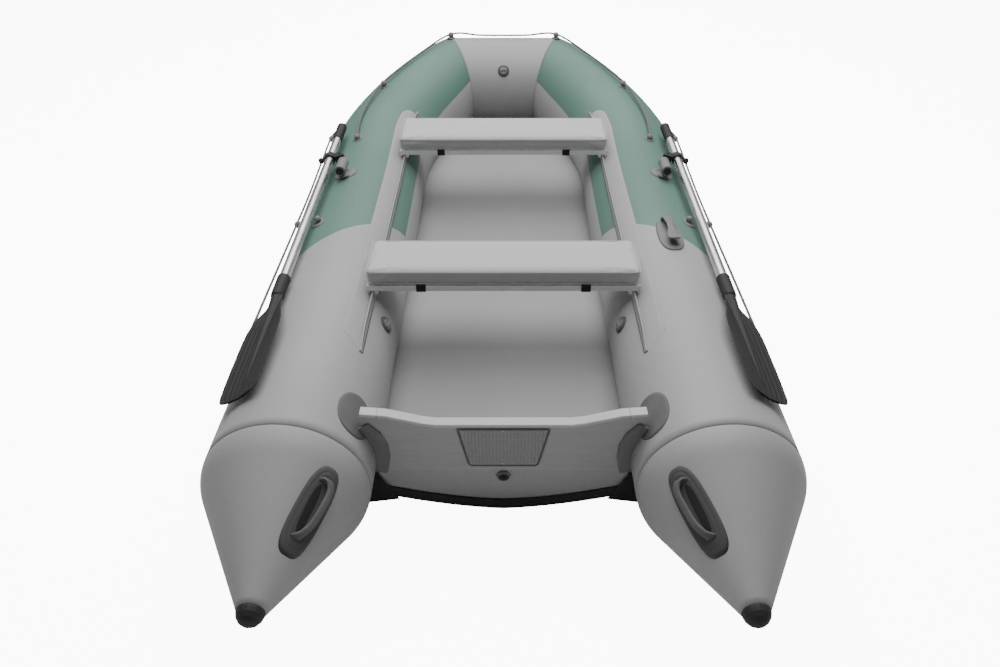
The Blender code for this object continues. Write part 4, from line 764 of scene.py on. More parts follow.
class TENDER_OT_tubes(TenderOperator):
    """Smooth skins of the side tubes, stern cones and bow tube."""
    bl_idname = "tender.tubes"
    bl_label = "Tubes"

    def side_points(self):
        """Side tube and quarter in one skin, its last rings sheared onto the mitre plane."""
        p = np.concatenate([np.linspace(SEAM_S + 0.0004, QUARTER_S, 60)[:-1],
                            np.linspace(QUARTER_S, BOW_S, 90)])
        phi = np.linspace(-180, 180, 120, endpoint=False)
        points = hull_point(p[:, None], phi[None, :])
        middle, tangent, side, up = hull_frame(p)
        turn = 3 * (BOW_S - QUARTER_S) / 8
        share = np.clip((p - BOW_S + turn) / turn, 0, 1)[:, None]
        plane = unit(tangent * (1 - share) + MITRE * share)
        reach = points - middle[:, None]
        slide = -(reach * plane[:, None]).sum(-1) / (tangent * plane).sum(-1)[:, None]
        points = points + slide[..., None] * tangent[:, None]
        uv = np.stack(np.broadcast_arrays(p[:, None], phi[None, :] / 360 + 0.5), -1)
        return points, uv

    def cone_points(self):
        """Stern cone from its tip to the seam, drawn in by a hair at the seam."""
        s = np.concatenate([np.linspace(0.0006, SEAM_S - SHOULDER, 24)[:-1],
                            np.linspace(SEAM_S - SHOULDER, SEAM_S - 0.0004, 18)])
        phi = np.linspace(-180, 180, 120, endpoint=False)
        dip = -0.0012 * np.exp(-((s - SEAM_S) / 0.0022) ** 2)
        uv = np.stack(np.broadcast_arrays(s[:, None], phi[None, :] / 360 + 0.5), -1)
        return hull_point(s[:, None], phi[None, :], dip[:, None]), uv

    def strake_points(self):
        """Strake: a low band with two round ribs along the tube's widest line.

        Over half its angle h the lift is 0.0024 + 0.0026 exp(-((|a| / h - 0.6) / 0.2)^2).
        """
        half = math.degrees(0.025 / TUBE_R)
        s = np.linspace(SEAM_S + 0.012, QUARTER_S + 0.93 * (BOW_S - QUARTER_S), 170)[:, None]
        share = np.concatenate([np.linspace(-1, 1, 33), [1.0, 0.0, -1.0]])
        lift = 0.0024 + 0.0026 * np.exp(-((np.abs(share) - 0.6) / 0.2) ** 2)
        lift[33:] = -0.0006
        return hull_point(s, 90 + half * share[None], lift[None] * np.ones_like(s))

    def bow_points(self):
        """Cross tube, its rings sheared onto both mitre planes."""
        x = np.linspace(1, -1, 50)
        phi = np.linspace(-180, 180, 120, endpoint=False)
        a = np.radians(phi)
        reach = -(TUBE_R * np.sin(a) * MITRE[1] + TUBE_R * np.cos(a) * MITRE[2]) / MITRE[0]
        xs = x[:, None] * (BOW_HALF + reach)[None, :]
        ys = np.broadcast_to(BOW_Y + TUBE_R * np.sin(a), xs.shape)
        zs = np.broadcast_to(BOW_Z + TUBE_R * np.cos(a), xs.shape)
        return np.stack([xs, ys, zs], -1)

    def execute(self, context):
        points, uv = self.side_points()
        cone, cone_uv = self.cone_points()
        for side, sign in SIDES:
            turn = (lambda q: q) if sign > 0 else mirror
            skin = surface(side + "_tube_skin", turn(points), wrap_v=True, caps=True, uv=uv)
            finish_piece(skin, "hull", "hull_fabric_green", look("hull_sides"),
                         side + "_side_tube", side + "_bow_quarter")
            tail = surface(side + "_cone_skin", turn(cone), wrap_v=True, caps=True, uv=cone_uv)
            finish_piece(tail, "hull", "hull_fabric_grey", look("grey_fabric"),
                         side + "_stern_cone")
        bow = surface("bow_tube_skin", self.bow_points(), wrap_v=True, caps=True)
        finish_piece(bow, "hull", "hull_fabric_grey", look("grey_fabric"), "bow_tube")
        dress("black_rubber", "starboard_cone_cap", "port_cone_cap")
        for side, sign in SIDES:
            points = self.strake_points()
            strake = surface(side + "_strake", points if sign > 0 else mirror(points),
                             wrap_v=True, caps=True)
            finish_piece(strake, "hull", "dark_rubber", look("black_rubber"),
                         side + "_rub_strake")
        return {"FINISHED"}


class TENDER_OT_floor(TenderOperator):
    """Inflated floor mat, bottom skin, keel strip and the dark band under the transom."""
    bl_idname = "tender.floor"
    bl_label = "Floor and bottom"

    def mat_points(self, crown):
        """Mat: a flat slab with full round edges, following the tubes and the sheer.

        Across, x runs to w - h and then as w - h + h cos(t)^q by h sin(t)^q; the ends
        narrow as w (1 - t^2.2) and thin as h (1 - t^3)^0.5.
        """
        lo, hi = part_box("air_floor")
        first = lo.y - TIP_Y + 0.001
        last = hi.y - TIP_Y - 0.001
        s = np.concatenate([first + np.array([0, 0.002, 0.006, 0.014, 0.03]),
                            np.linspace(first + 0.06, last - 0.1, 70),
                            last - np.array([0.07, 0.045, 0.025, 0.01, 0.003, 0.0])])
        p = np.linspace(SEAM_S, BOW_S, 400)
        middle, tangent, side, up = hull_frame(p)
        inner = middle - side * math.sqrt(TUBE_R**2 - 0.1**2)
        wide = np.interp(s, inner[:, 1] - TIP_Y, inner[:, 0]) - 0.0004
        nose = np.clip((s - last + 0.12) / 0.12, 0, 1)
        tail = np.clip((first + 0.014 - s) / 0.014, 0, 1)
        wide = wide - 0.085 * nose**2.2 - 0.012 * tail**2
        thick = 0.0275 * np.sqrt(np.clip(1 - 0.75 * nose**3 - 0.85 * tail**2, 0.05, 1))
        rise = np.clip((s - BOW_S + SHEER_LEN) / SHEER_LEN, 0, None) ** 2 * BOW_RISE
        arc = np.linspace(np.pi / 2, -np.pi / 2, 19)
        bend = 0.55
        flat = np.linspace(-1, 1, 34)[1:-1]
        rows = []
        core = wide - thick
        edge_x = core[:, None] + thick[:, None] * np.cos(arc).clip(0) ** bend
        edge_z = thick[:, None] * np.sign(np.sin(arc)) * np.abs(np.sin(arc)) ** bend
        top_x = core[:, None] * flat
        top_z = thick[:, None] + crown * (1 - flat**4)
        bottom_x = -top_x
        bottom_z = -thick[:, None] * np.ones_like(flat)
        x = np.concatenate([top_x, edge_x, bottom_x, -edge_x[:, ::-1]], 1)
        z = np.concatenate([top_z * np.ones_like(top_x), edge_z, bottom_z * np.ones_like(top_x),
                            edge_z[:, ::-1]], 1)
        z = z + (0.1222 + rise)[:, None]
        y = np.broadcast_to((s + TIP_Y)[:, None], x.shape)
        return np.stack([x, y, z], -1)

    def band_points(self):
        """Dark band closing the stern under the board: a strip from tube to tube.

        Its top follows the board's lower edge and its foot hangs below the bottom skin,
        z = z0 + k |x|^1.7.
        """
        x = np.linspace(-0.352, 0.352, 61)
        share = np.abs(x) / 0.349
        top = 0.020 + 0.070 * share**1.7 + 0.012
        foot = 0.0010 + 0.058 * np.abs(x / 0.352) ** 1.7
        v = np.linspace(0, 1, 9)[:, None]
        z = foot + (top - foot) * v
        y = TRANSOM_S - RAKE * z + TIP_Y - 0.0018 - 0.004 * np.sin(v * np.pi)
        y = y - 0.011 * (1 - v) * np.clip(1 - share, 0, 1)
        return np.stack([np.broadcast_to(x, z.shape), y, z], -1)

    def gusset_points(self):
        """Wedge of fabric from the board's corner out under the tube: straight rulings
        from a line at the board's corner to the tube's circle."""
        v = np.linspace(0, 1, 11)
        phi = -103.0 - 60.0 * v
        rim = hull_point(np.full_like(phi, TRANSOM_S - 0.014), phi, 0.0008)
        z = 0.150 + (0.040 - 0.150) * v
        x = 0.349 + (0.300 - 0.349) * v
        y = TRANSOM_S - RAKE * z + TIP_Y - 0.008
        near = np.stack([x, y, z], -1)
        u = np.linspace(0, 1, 13)[:, None, None]
        return near[None] + (rim - near)[None] * u

    def execute(self, context):
        hull = context.scene.tender_hull
        mat = surface("floor_mat", self.mat_points(hull.crown), wrap_v=True, caps=True)
        finish_piece(mat, "hull", "hull_fabric_grey", look("floor_fabric"), "air_floor")
        band = solid(surface("stern_band", self.band_points()), 0.003, 0.0)
        finish_piece(band, "hull", "dark_rubber", look("black_rubber"))
        for side, sign in SIDES:
            points = self.gusset_points()
            points = points if sign > 0 else mirror(points)
            flap = solid(surface(side + "_gusset", points), 0.002, 0.0)
            finish_piece(flap, "hull", "dark_rubber", look("black_rubber"))
        dress("grey_fabric", "bottom_skin")
        dress("black_rubber", "keel_strip")
        return {"FINISHED"}


class TENDER_OT_transom(TenderOperator):
    """Board, cap, outboard pad with its rim and screws, drain and tube patches."""
    bl_idname = "tender.transom"
    bl_label = "Transom"

    def on_face(self, x, z, out):
        """Points on the transom's aft face, out metres aft of it."""
        x, z, out = np.broadcast_arrays(x, z, out)
        return np.stack([x, TRANSOM_S - RAKE * z + TIP_Y - out, z], -1)

    def rim_points(self, top, low):
        """Raised rim of the pad: a round bead along its four-cornered outline."""
        corners = np.array([(-0.1215, top - 0.004), (0.1215, top - 0.004),
                            (0.0945, low + 0.004), (-0.0945, low + 0.004)])
        path = []
        for k in range(4):
            before, a, b = corners[k - 1], corners[k], corners[(k + 1) % 4]
            t = np.linspace(0, 1, 7)[:, None]
            start = a + unit(before - a) * 0.012
            end = a + unit(b - a) * 0.012
            path.append((1 - t) ** 2 * start + 2 * t * (1 - t) * a + t * t * end)
            far = b + unit(a - b) * 0.012
            path.append(end + (far - end) * np.linspace(0.03, 0.97, 16)[:, None])
        path = np.concatenate(path)
        centre = self.on_face(path[:, 0], path[:, 1], 0.0046)
        ahead = unit(np.roll(centre, -1, 0) - np.roll(centre, 1, 0))
        out = unit(np.array([0.0, -1.0, -RAKE]))
        side = np.cross(ahead, out)
        t = np.linspace(0, 2 * np.pi, 10, endpoint=False)
        points = centre[:, None] + 0.0028 * np.cos(t)[None, :, None] * side[:, None]
        return points + 0.0012 * np.sin(t)[None, :, None] * out

    def execute(self, context):
        dress("board_paint", "transom_board")
        dress("cap_plastic", "transom_cap")
        dress("grid_plastic", "transom_plate")
        dress("bracket_rubber", "starboard_transom_bracket", "port_transom_bracket")
        lo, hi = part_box("transom_plate")
        rim = surface("pad_rim", self.rim_points(hi.z, lo.z), wrap_u=True, wrap_v=True)
        finish_piece(rim, "hull", "black_plastic", look("valve_plastic"))
        out = (0.0, -1.0, -RAKE)
        axes = basis(out, (1.0, 0.0, 0.0))
        spots = [(-0.114, hi.z - 0.012), (0.0, hi.z - 0.012), (0.114, hi.z - 0.012),
                 (-0.088, lo.z + 0.012), (0.0, lo.z + 0.012), (0.088, lo.z + 0.012)]
        for k, (x, z) in enumerate(spots):
            place = self.on_face(x, z, 0.0043)
            profile = [(1e-4, 0.0012), (0.0007, 0.0011), (0.0013, 0.0008), (0.0018, 0.0),
                       (1e-4, 0.0)]
            screw = turned("pad_screw_%d" % (k + 1), profile, place, axes, 20)
            finish_piece(screw, "hull", "oar_aluminium", look("oar_metal"))
        lo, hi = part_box("drain_socket")
        centre = self.on_face(0.0, (lo.z + hi.z) / 2, 0.0)
        ring = [(0.0140, 0.0060), (0.0165, 0.0092), (0.0195, 0.0088), (0.0212, 0.0040),
                (0.0215, 0.0003), (0.0125, 0.0003), (0.0125, 0.0040)]
        nut = self.hex_ring("drain_hex", ring, centre, axes)
        finish_piece(nut, "hull", "black_plastic", look("cap_grey"), "drain_socket")
        dress("black_plastic", "drain_plug")
        for side, sign in SIDES:
            patch = pad_on_hull(side + "_tube_patch", 0.512, -53.0, 0.076, 0.060, 0.0022,
                                2.2, 0.06)
            if sign < 0:
                patch.data.transform(Matrix.Diagonal((-1, 1, 1, 1)))
                patch.data.flip_normals()
            finish_piece(patch, "hull", "dark_rubber", look("patch_rubber"))
        return {"FINISHED"}

    def hex_ring(self, name, profile, place, axes):
        """Six-sided ring: the radius is r cos 30 / cos(t mod 60 - 30) in the outer rows."""
        rz = np.array(profile)
        t = np.linspace(0, 2 * np.pi, 72, endpoint=False)
        six = math.cos(math.pi / 6) / np.cos(t % (math.pi / 3) - math.pi / 6)
        r = rz[:, :1] * six
        local = np.stack([r * np.cos(t), r * np.sin(t), np.repeat(rz[:, 1:], len(t), 1)], -1)
        return surface(name, local @ axes + place, wrap_u=True, wrap_v=True)


class TENDER_OT_rails(TenderOperator):
    """Welded flaps with the fin and bead that carry the benches."""
    bl_idname = "tender.rails"
    bl_label = "Seat rails"

    def points(self):
        """Section of the rail carried along the tube: flap, fin and round bead.

        The outer edge is cut back at the aft end so that the flap comes to a point.
        """
        lo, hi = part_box("starboard_seat_rail")
        first = lo.y - TIP_Y
        last = QUARTER_S + 0.223
        s = np.concatenate([first + np.array([0, 0.004, 0.01, 0.018, 0.028, 0.04, 0.055]),
                            np.linspace(first + 0.08, last - 0.05, 90),
                            last - np.array([0.035, 0.02, 0.01, 0.004, 0.0])])
        cut = np.clip((first + 0.055 - s) / 0.055, 0, 1)
        trim = np.clip((s - last + 0.05) / 0.05, 0, 1)
        edge = -26.0 - 17.0 * cut**0.8 - 8.0 * trim**2
        share = np.linspace(0, 1, 9)
        band = edge[:, None] + (-44.0 - edge[:, None]) * share
        rise = 0.0004 + 0.0003 * np.clip(share * 2, 0, 1)[None]
        top = hull_point(s[:, None], band, rise * np.ones_like(band))
        root = hull_point(s, -44.8, 0.0)
        side = hull_frame(s)[2]
        flat = unit(side * np.array([1.0, 1.0, 0.0]))
        up = np.array([0.0, 0.0, 1.0])
        b = np.radians(np.linspace(155, -155, 15))
        high = 0.0215 * (1 - np.clip((first + 0.11 - s) / 0.11, 0, 0.85) ** 1.4)[:, None]
        bead = root[:, None] + high[..., None] * up
        bead = bead + 0.0027 * (np.sin(b)[None, :, None] * flat[:, None]
                                + np.cos(b)[None, :, None] * up)
        foot = hull_point(s, -45.6, 0.0016)[:, None]
        back = hull_point(s[:, None], np.array([-47.0, -46.0])[None], 0.0012)
        under = hull_point(s[:, None], band[:, ::-1], -0.0004)
        return np.concatenate([top, bead, foot, back, under], 1)

    def execute(self, context):
        points = self.points()
        for side, sign in SIDES:
            turn = points if sign > 0 else mirror(points)
            rail = surface(side + "_rail_flap", turn, wrap_v=True, caps=True)
            finish_piece(rail, "hull", "hull_fabric_grey", look("rail_fabric"),
                         side + "_seat_rail")
        return {"FINISHED"}


class TENDER_OT_benches(TenderOperator):
    """Planks, straps and stuffed cushions with piping."""
    bl_idname = "tender.benches"
    bl_label = "Benches"

    def outline(self, a, b, r, count=120):
        """Rounded rectangle: corners of radius r on half sides a and b, even in length."""
        arcs = []
        for k, (cx, cy) in enumerate(((a - r, b - r), (-a + r, b - r), (-a + r, -b + r),
                                      (a - r, -b + r))):
            t = np.linspace(0, np.pi / 2, 9) + k * np.pi / 2
            arcs.append(np.stack([cx + r * np.cos(t), cy + r * np.sin(t)], -1))
        loop = np.concatenate(arcs + [arcs[0][:1]])
        step = np.r_[0, np.cumsum(np.linalg.norm(np.diff(loop, axis=0), axis=1))]
        even = np.linspace(0, step[-1], count, endpoint=False)
        return np.stack([np.interp(even, step, loop[:, i]) for i in (0, 1)], -1)

    def cushion_points(self, a, b, h, edge, crown):
        """Cushion: rings of the outline from the bottom's middle, up the sides, to the top's.

        The top is crowned by c (1 - f^4); sides bulge by 2 mm as sin of their height.
        """
        fill = np.concatenate([np.linspace(0.06, 0.92, 9), [0.97, 1.0]])
        rows = []
        for f in fill:
            loop = self.outline(a - edge, b - edge, 0.006)
            rows.append(np.c_[loop * [f, f], np.full(len(loop), -h)])
        for t in np.linspace(0, np.pi / 2, 6)[1:]:
            k = edge * (1 - math.sin(t))
            loop = self.outline(a - k, b - k, 0.009)
            rows.append(np.c_[loop, np.full(len(loop), -h + edge * (1 - math.cos(t)))])
        for t in np.linspace(0, 1, 8)[1:-1]:
            puff = 0.0018 * math.sin(math.pi * t)
            loop = self.outline(a + puff, b + puff, 0.009)
            rows.append(np.c_[loop, np.full(len(loop), -h + edge + t * 2 * (h - edge))])
        for t in np.linspace(np.pi / 2, 0, 6):
            k = edge * (1 - math.sin(t))
            loop = self.outline(a - k, b - k, 0.009)
            rows.append(np.c_[loop, np.full(len(loop), h - edge * (1 - math.cos(t)))])
        for f in fill[::-1][1:]:
            loop = self.outline(a - edge, b - edge, 0.006)
            lift = crown * (1 - f**4)
            rows.append(np.c_[loop * [f, f], np.full(len(loop), h + lift)])
        return np.array(rows)

    def stuff(self, obj, cap):
        """Cloth pressed out from inside for twenty frames; no point moves past the cap."""
        remesh = obj.modifiers.new("remesh", "REMESH")
        remesh.mode = "VOXEL"
        remesh.voxel_size = 0.0045
        self.apply(obj)
        rest = self.coords(obj)
        cloth = obj.modifiers.new("cloth", "CLOTH")
        cloth.settings.use_pressure = True
        cloth.settings.uniform_pressure_force = 4.0
        cloth.settings.quality = 4
        cloth.settings.effector_weights.gravity = 0.0
        cloth.settings.tension_stiffness = 25.0
        cloth.settings.bending_stiffness = 2.0
        cloth.point_cache.frame_start = 1
        cloth.point_cache.frame_end = 20
        scene = bpy.context.scene
        for k in range(1, 21):
            scene.frame_set(k)
        self.apply(obj)
        scene.frame_set(1)
        moved = self.coords(obj) - rest
        far = np.linalg.norm(moved, axis=1, keepdims=True)
        moved *= np.minimum(1.0, cap / np.maximum(far, 1e-9))
        obj.data.vertices.foreach_set("co", (rest + moved).astype(np.float32).ravel())
        soft = obj.modifiers.new("soft", "SUBSURF")
        soft.levels = 1
        soft.render_levels = 1
        obj.data.shade_smooth()

    def coords(self, obj):
        """Positions of an object's points."""
        flat = np.zeros(len(obj.data.vertices) * 3, np.float32)
        obj.data.vertices.foreach_get("co", flat)
        return flat.reshape(-1, 3).astype(float)

    def apply(self, obj):
        """Modifiers made part of the mesh."""
        graph = bpy.context.evaluated_depsgraph_get()
        mesh = bpy.data.meshes.new_from_object(obj.evaluated_get(graph))
        obj.modifiers.clear()
        obj.data = mesh

    def piping(self, name, a, b, z, radius, move):
        """Cord round the cushion's edge: circles of the piping's radius on the outline."""
        loop = self.outline(a, b, 0.010, 160)
        ahead = unit(np.roll(loop, -1, 0) - np.roll(loop, 1, 0))
        side = np.stack([ahead[:, 1], -ahead[:, 0], np.zeros(len(loop))], -1)
        centre = np.c_[loop, np.full(len(loop), z)]
        t = np.linspace(0, 2 * np.pi, 8, endpoint=False)
        points = centre[:, None] + radius * (np.cos(t)[None, :, None] * side[:, None]
                                             + np.sin(t)[None, :, None] * np.array([0, 0, 1.0]))
        return surface(name, move(points), wrap_u=True, wrap_v=True)

    def execute(self, context):
        seats = context.scene.tender_seats
        for name in ("rear", "front"):
            lo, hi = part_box(name + "_seat_cushion")
            tilt = 0.0
            if name == "front":
                middle, tangent, side, up = hull_frame((lo.y + hi.y) / 2 - TIP_Y)
                tilt = math.asin(float(tangent[2]))
            half = (hi.x - lo.x) / 2
            deep = 0.1
            tall = 0.025
            centre = np.array([(lo[i] + hi[i]) / 2 for i in range(3)])
            c, s = math.cos(tilt), math.sin(tilt)
            turn = np.array([[1, 0, 0], [0, c, s], [0, -s, c]])

            def move(q, centre=centre, turn=turn):
                return q @ turn + centre

            inset = 0.0010
            points = self.cushion_points(half - inset, deep - inset, tall - inset, seats.edge,
                                         0.0025)
            pad = surface(name + "_cushion", move(points), wrap_v=True, caps=True)
            self.stuff(pad, seats.swell)
            finish_piece(pad, name + "_seat", "cushion_cover", look("cushion_cover"),
                         name + "_seat_cushion")
            for edge, z in (("top", tall - 0.0042), ("low", -tall + 0.0042)):
                cord = self.piping("%s_piping_%s" % (name, edge), half - 0.0018, deep - 0.0018, z,
                                   seats.piping, move)
                finish_piece(cord, name + "_seat", "cushion_cover", look("cushion_cover"))
            dress("plank_paint", name + "_seat_board")
            dress("webbing", name + "_port_seat_strap", name + "_starboard_seat_strap")
        return {"FINISHED"}


class TENDER_OT_oars(TenderOperator):
    """Blades, grips, shafts, locks, clamps and cleats."""
    bl_idname = "tender.oars"
    bl_label = "Oars"

    def blade_frame(self):
        """Mouth of the blade's socket and its axes: across, face and forward."""
        lo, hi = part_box("starboard_oar_blade")
        slo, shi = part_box("starboard_oar_shaft")
        y = hi.y - 0.0006
        z = shi.z - SHAFT_R - OAR_SLOPE * (shi.y - y)
        way = unit(np.array([0.0, 1.0, OAR_SLOPE]))
        across = np.array([math.cos(BLADE_ROLL), 0.0, -math.sin(BLADE_ROLL)])
        face = unit(np.cross(across, way))
        return np.array([(slo.x + shi.x) / 2, y, z]), np.stack([across, face, way])

    def blade_points(self, half, rib):
        """Blade: width w(d) by thickness t(d, v), ribbed along its length.

        The upper face is t = t0 + rib cos(2 pi 4.5 |v|) away from a round spine that
        tapers to the tip; the whole blade is spooned by k v^2.
        """
        d = np.concatenate([np.linspace(0.085, 0.31, 30)[:-1],
                            np.linspace(0.31, BLADE_L - 0.05, 20)[:-1],
                            BLADE_L - 0.05 * np.linspace(1, 0, 14) ** 1.4])
        knots = [0.085, 0.11, 0.15, 0.18, 0.21, 0.25, 0.29, 0.32, BLADE_L - 0.09, BLADE_L - 0.03,
                 BLADE_L - 0.010, BLADE_L]
        wides = [0.29, 0.31, 0.46, 0.63, 0.78, 0.94, 0.99, 1.0, 1.0, 0.96, 0.88, 0.76]
        w = half * np.interp(d, knots, wides)
        v = np.linspace(-1, 1, 61)
        room = np.clip((w / half - 0.45) / 0.3, 0, 1)[:, None]
        fade = np.clip((BLADE_L - d) / 0.03, 0, 1)[:, None]
        ribs = rib * (0.5 + 0.5 * np.cos(2 * np.pi * 4.5 * np.abs(v)))[None] * room * fade
        ribs = ribs * (np.abs(v) < 0.94) * (np.abs(v) > 0.12)
        spine_r = np.interp(d, [0.085, 0.18, 0.42, 0.50, BLADE_L],
                            [0.0195, 0.0145, 0.006, 0.003, 0.0])
        spine = np.sqrt(np.clip(spine_r[:, None] ** 2 - (w[:, None] * v) ** 2, 0, None))
        edge = np.sqrt(np.clip(1 - np.abs(v) ** 12, 0, 1))[None]
        body = 0.0022 * edge
        up = np.maximum(body + ribs * edge, spine)
        down = np.maximum(body, spine * 0.7)
        spoon = 0.010 * (v**2)[None] * room
        x = w[:, None] * v
        loop_x = np.concatenate([x, x[:, ::-1][:, 1:-1]], 1)
        loop_y = np.concatenate([up + spoon, (-down + spoon)[:, ::-1][:, 1:-1]], 1)
        slant = 0.006 * np.clip((d - BLADE_L + 0.09) / 0.09, 0, 1)[:, None]
        loop_z = -d[:, None] - slant * loop_x / half
        return np.stack([loop_x, loop_y - 0.002, loop_z], -1)

    def grip_profile(self, long):
        """Hand grip: a rounded end, then shallow rings and a collar at the front edge."""
        h = np.linspace(0.012, long - 0.012, 60)
        r = 0.0190 + 0.0008 * np.cos((h - 0.012) * 2 * np.pi / 0.011)
        a = np.linspace(0, np.pi / 2, 8)
        head = [(max(1e-4, 0.0197 * math.sin(b)), -0.009 * (1 - math.cos(b))) for b in a]
        bore = SHAFT_R + 0.0003
        foot = [(0.0200, -long + 0.009), (0.0200, -long + 0.001), (0.0193, -long), (bore, -long),
                (bore, -long + 0.09), (1e-4, -long + 0.09)]
        return head + [(float(q), -float(p)) for p, q in zip(h, r)] + foot

    def execute(self, context):
        oars = context.scene.tender_oars
        mouth, axes = self.blade_frame()
        blade = self.blade_points(oars.blade_half, oars.rib) @ axes + mouth
        glo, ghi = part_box("starboard_oar_grip")
        long = 0.14
        front = mouth + axes[2] * ((ghi.y - mouth[1]) / axes[2][1])
        lock_lo, lock_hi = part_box("starboard_oarlock_base")
        for side, sign in SIDES:
            turn = (lambda q: q) if sign > 0 else mirror
            plate = surface(side + "_blade_plate", turn(blade), wrap_v=True, caps=True)
            finish_piece(plate, side + "_oar", "black_plastic", look("black_plastic"),
                         side + "_oar_blade")
            bore = SHAFT_R + 0.0003
            socket = [(bore, 0.0), (0.0202, 0.0), (0.0212, -0.001), (0.0215, -0.004),
                      (0.0208, -0.010), (0.0208, -0.085), (0.0200, -0.098), (0.0150, -0.112),
                      (0.0150, -0.0990), (bore, -0.0985)]
            cup = turned(side + "_blade_socket", socket, mouth, axes, 40, closed=True)
            grip = turned(side + "_hand_grip", self.grip_profile(long), front, axes, 40)
            for piece in (cup, grip):
                if sign < 0:
                    piece.data.transform(Matrix.Diagonal((-1, 1, 1, 1)))
                    piece.data.flip_normals()
            finish_piece(cup, side + "_oar", "black_plastic", look("black_plastic"))
            finish_piece(grip, side + "_oar", "black_plastic", look("black_plastic"),
                         side + "_oar_grip")
            dress("oar_metal", side + "_oar_shaft")
            dress("black_plastic", side + "_oar_collar", side + "_oar_bracket")
            self.lock(side, sign)
            self.cleat(side, sign)
            self.knob(side)
        return {"FINISHED"}

    def lock(self, side, sign):
        """Rubber lock: domed pad, waisted neck and a barrel bored along the boat."""
        lo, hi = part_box("starboard_oarlock_base")
        s = (lo.y + hi.y) / 2 - TIP_Y
        phi = math.degrees(math.asin(0.060 / (TUBE_R + 0.032)))
        foot = hull_point(s, phi, 0.0)
        middle = np.array([HALF + 0.060, s + TIP_Y, hi.z - 0.021])
        pad = pad_on_hull("%s_lock_pad" % side, s + 0.018, phi, 0.0455, 0.0455, 0.0058, 2.0, 0.3)
        t = np.linspace(0, 1, 12)
        waist = 0.030 - 0.052 * t + 0.044 * t**2
        path = foot + (middle - foot) * (0.1 + 0.75 * t)[:, None]
        neck = swept("%s_lock_neck" % side, path, waist * 0.8, waist * 1.15, (1.0, 0.0, 0.0), 0.8,
                     28)
        half = 0.045
        b = 0.0092
        profile = [(b, -half + 0.003), (b + 0.002, -half), (0.0185, -half), (0.0208, -half + 0.0025),
                   (0.0212, -half + 0.008), (0.0205, -half + 0.014), (0.0205, half - 0.014),
                   (0.0212, half - 0.008), (0.0208, half - 0.0025), (0.0185, half),
                   (b + 0.002, half), (b, half - 0.003)]
        barrel = turned("%s_lock_barrel" % side, profile, middle,
                        basis((0, 1, 0), (1, 0, 0)), 40, closed=True)
        for piece in (pad, neck, barrel):
            if sign < 0:
                piece.data.transform(Matrix.Diagonal((-1, 1, 1, 1)))
                piece.data.flip_normals()
        finish_piece(pad, "hull", "dark_rubber", look("grey_rubber"), side + "_oarlock_base")
        finish_piece(neck, "hull", "dark_rubber", look("grey_rubber"))
        finish_piece(barrel, "hull", "dark_rubber", look("grey_rubber"))

    def cleat(self, side, sign):
        """Rubber stop beside the stowed shaft: pad and a post leaning on a fillet."""
        lo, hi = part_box("starboard_oar_cleat")
        s = (lo.y + hi.y) / 2 - TIP_Y
        pad = pad_on_hull("%s_cleat_pad" % side, s, 24.3, 0.029, 0.023, 0.0055, 2.2, 0.35)
        foot = hull_point(s, 24.3, 0.0)
        a = np.linspace(0, 0.72 * np.pi, 10)
        profile = [(max(1e-4, 0.0120 * math.sin(b)), 0.0170 + 0.0120 * math.cos(b)) for b in a]
        profile += [(0.0075, 0.0065), (0.0085, 0.005), (0.012, 0.0035), (0.014, 0.002),
                    (1e-4, 0.001)]
        post = turned("%s_cleat_post" % side, profile, foot, np.eye(3), 32)
        for piece in (pad, post):
            if sign < 0:
                piece.data.transform(Matrix.Diagonal((-1, 1, 1, 1)))
                piece.data.flip_normals()
        finish_piece(pad, "hull", "dark_rubber", look("grey_rubber"), side + "_oar_cleat")
        finish_piece(post, "hull", "dark_rubber", look("grey_rubber"))

    def knob(self, side):
        """Clamp knob with six finger lobes round its screw."""
        joint = next(j for j in frame["joints"] if j["name"] == side + "_knob_turn")
        axis = np.array(joint["axis"], float)
        place = np.array(joint["pos_m"], float)
        axis = axis * np.sign(axis[0]) * (1 if side == "starboard" else -1)
        profile = [(1e-4, 0.0155), (0.006, 0.0155), (0.0095, 0.0145), (0.0112, 0.012),
                   (0.0114, 0.004), (0.0100, 0.0010), (0.0036, 0.0004), (0.0034, -0.0075),
                   (1e-4, -0.0075)]
        knob = turned(side + "_knob_lobes", profile, place, basis(axis, (0, 1, 0)), 48, 6, 0.07)
        finish_piece(knob, side + "_knob", "black_plastic", look("black_plastic"),
                     side + "_collar_knob")


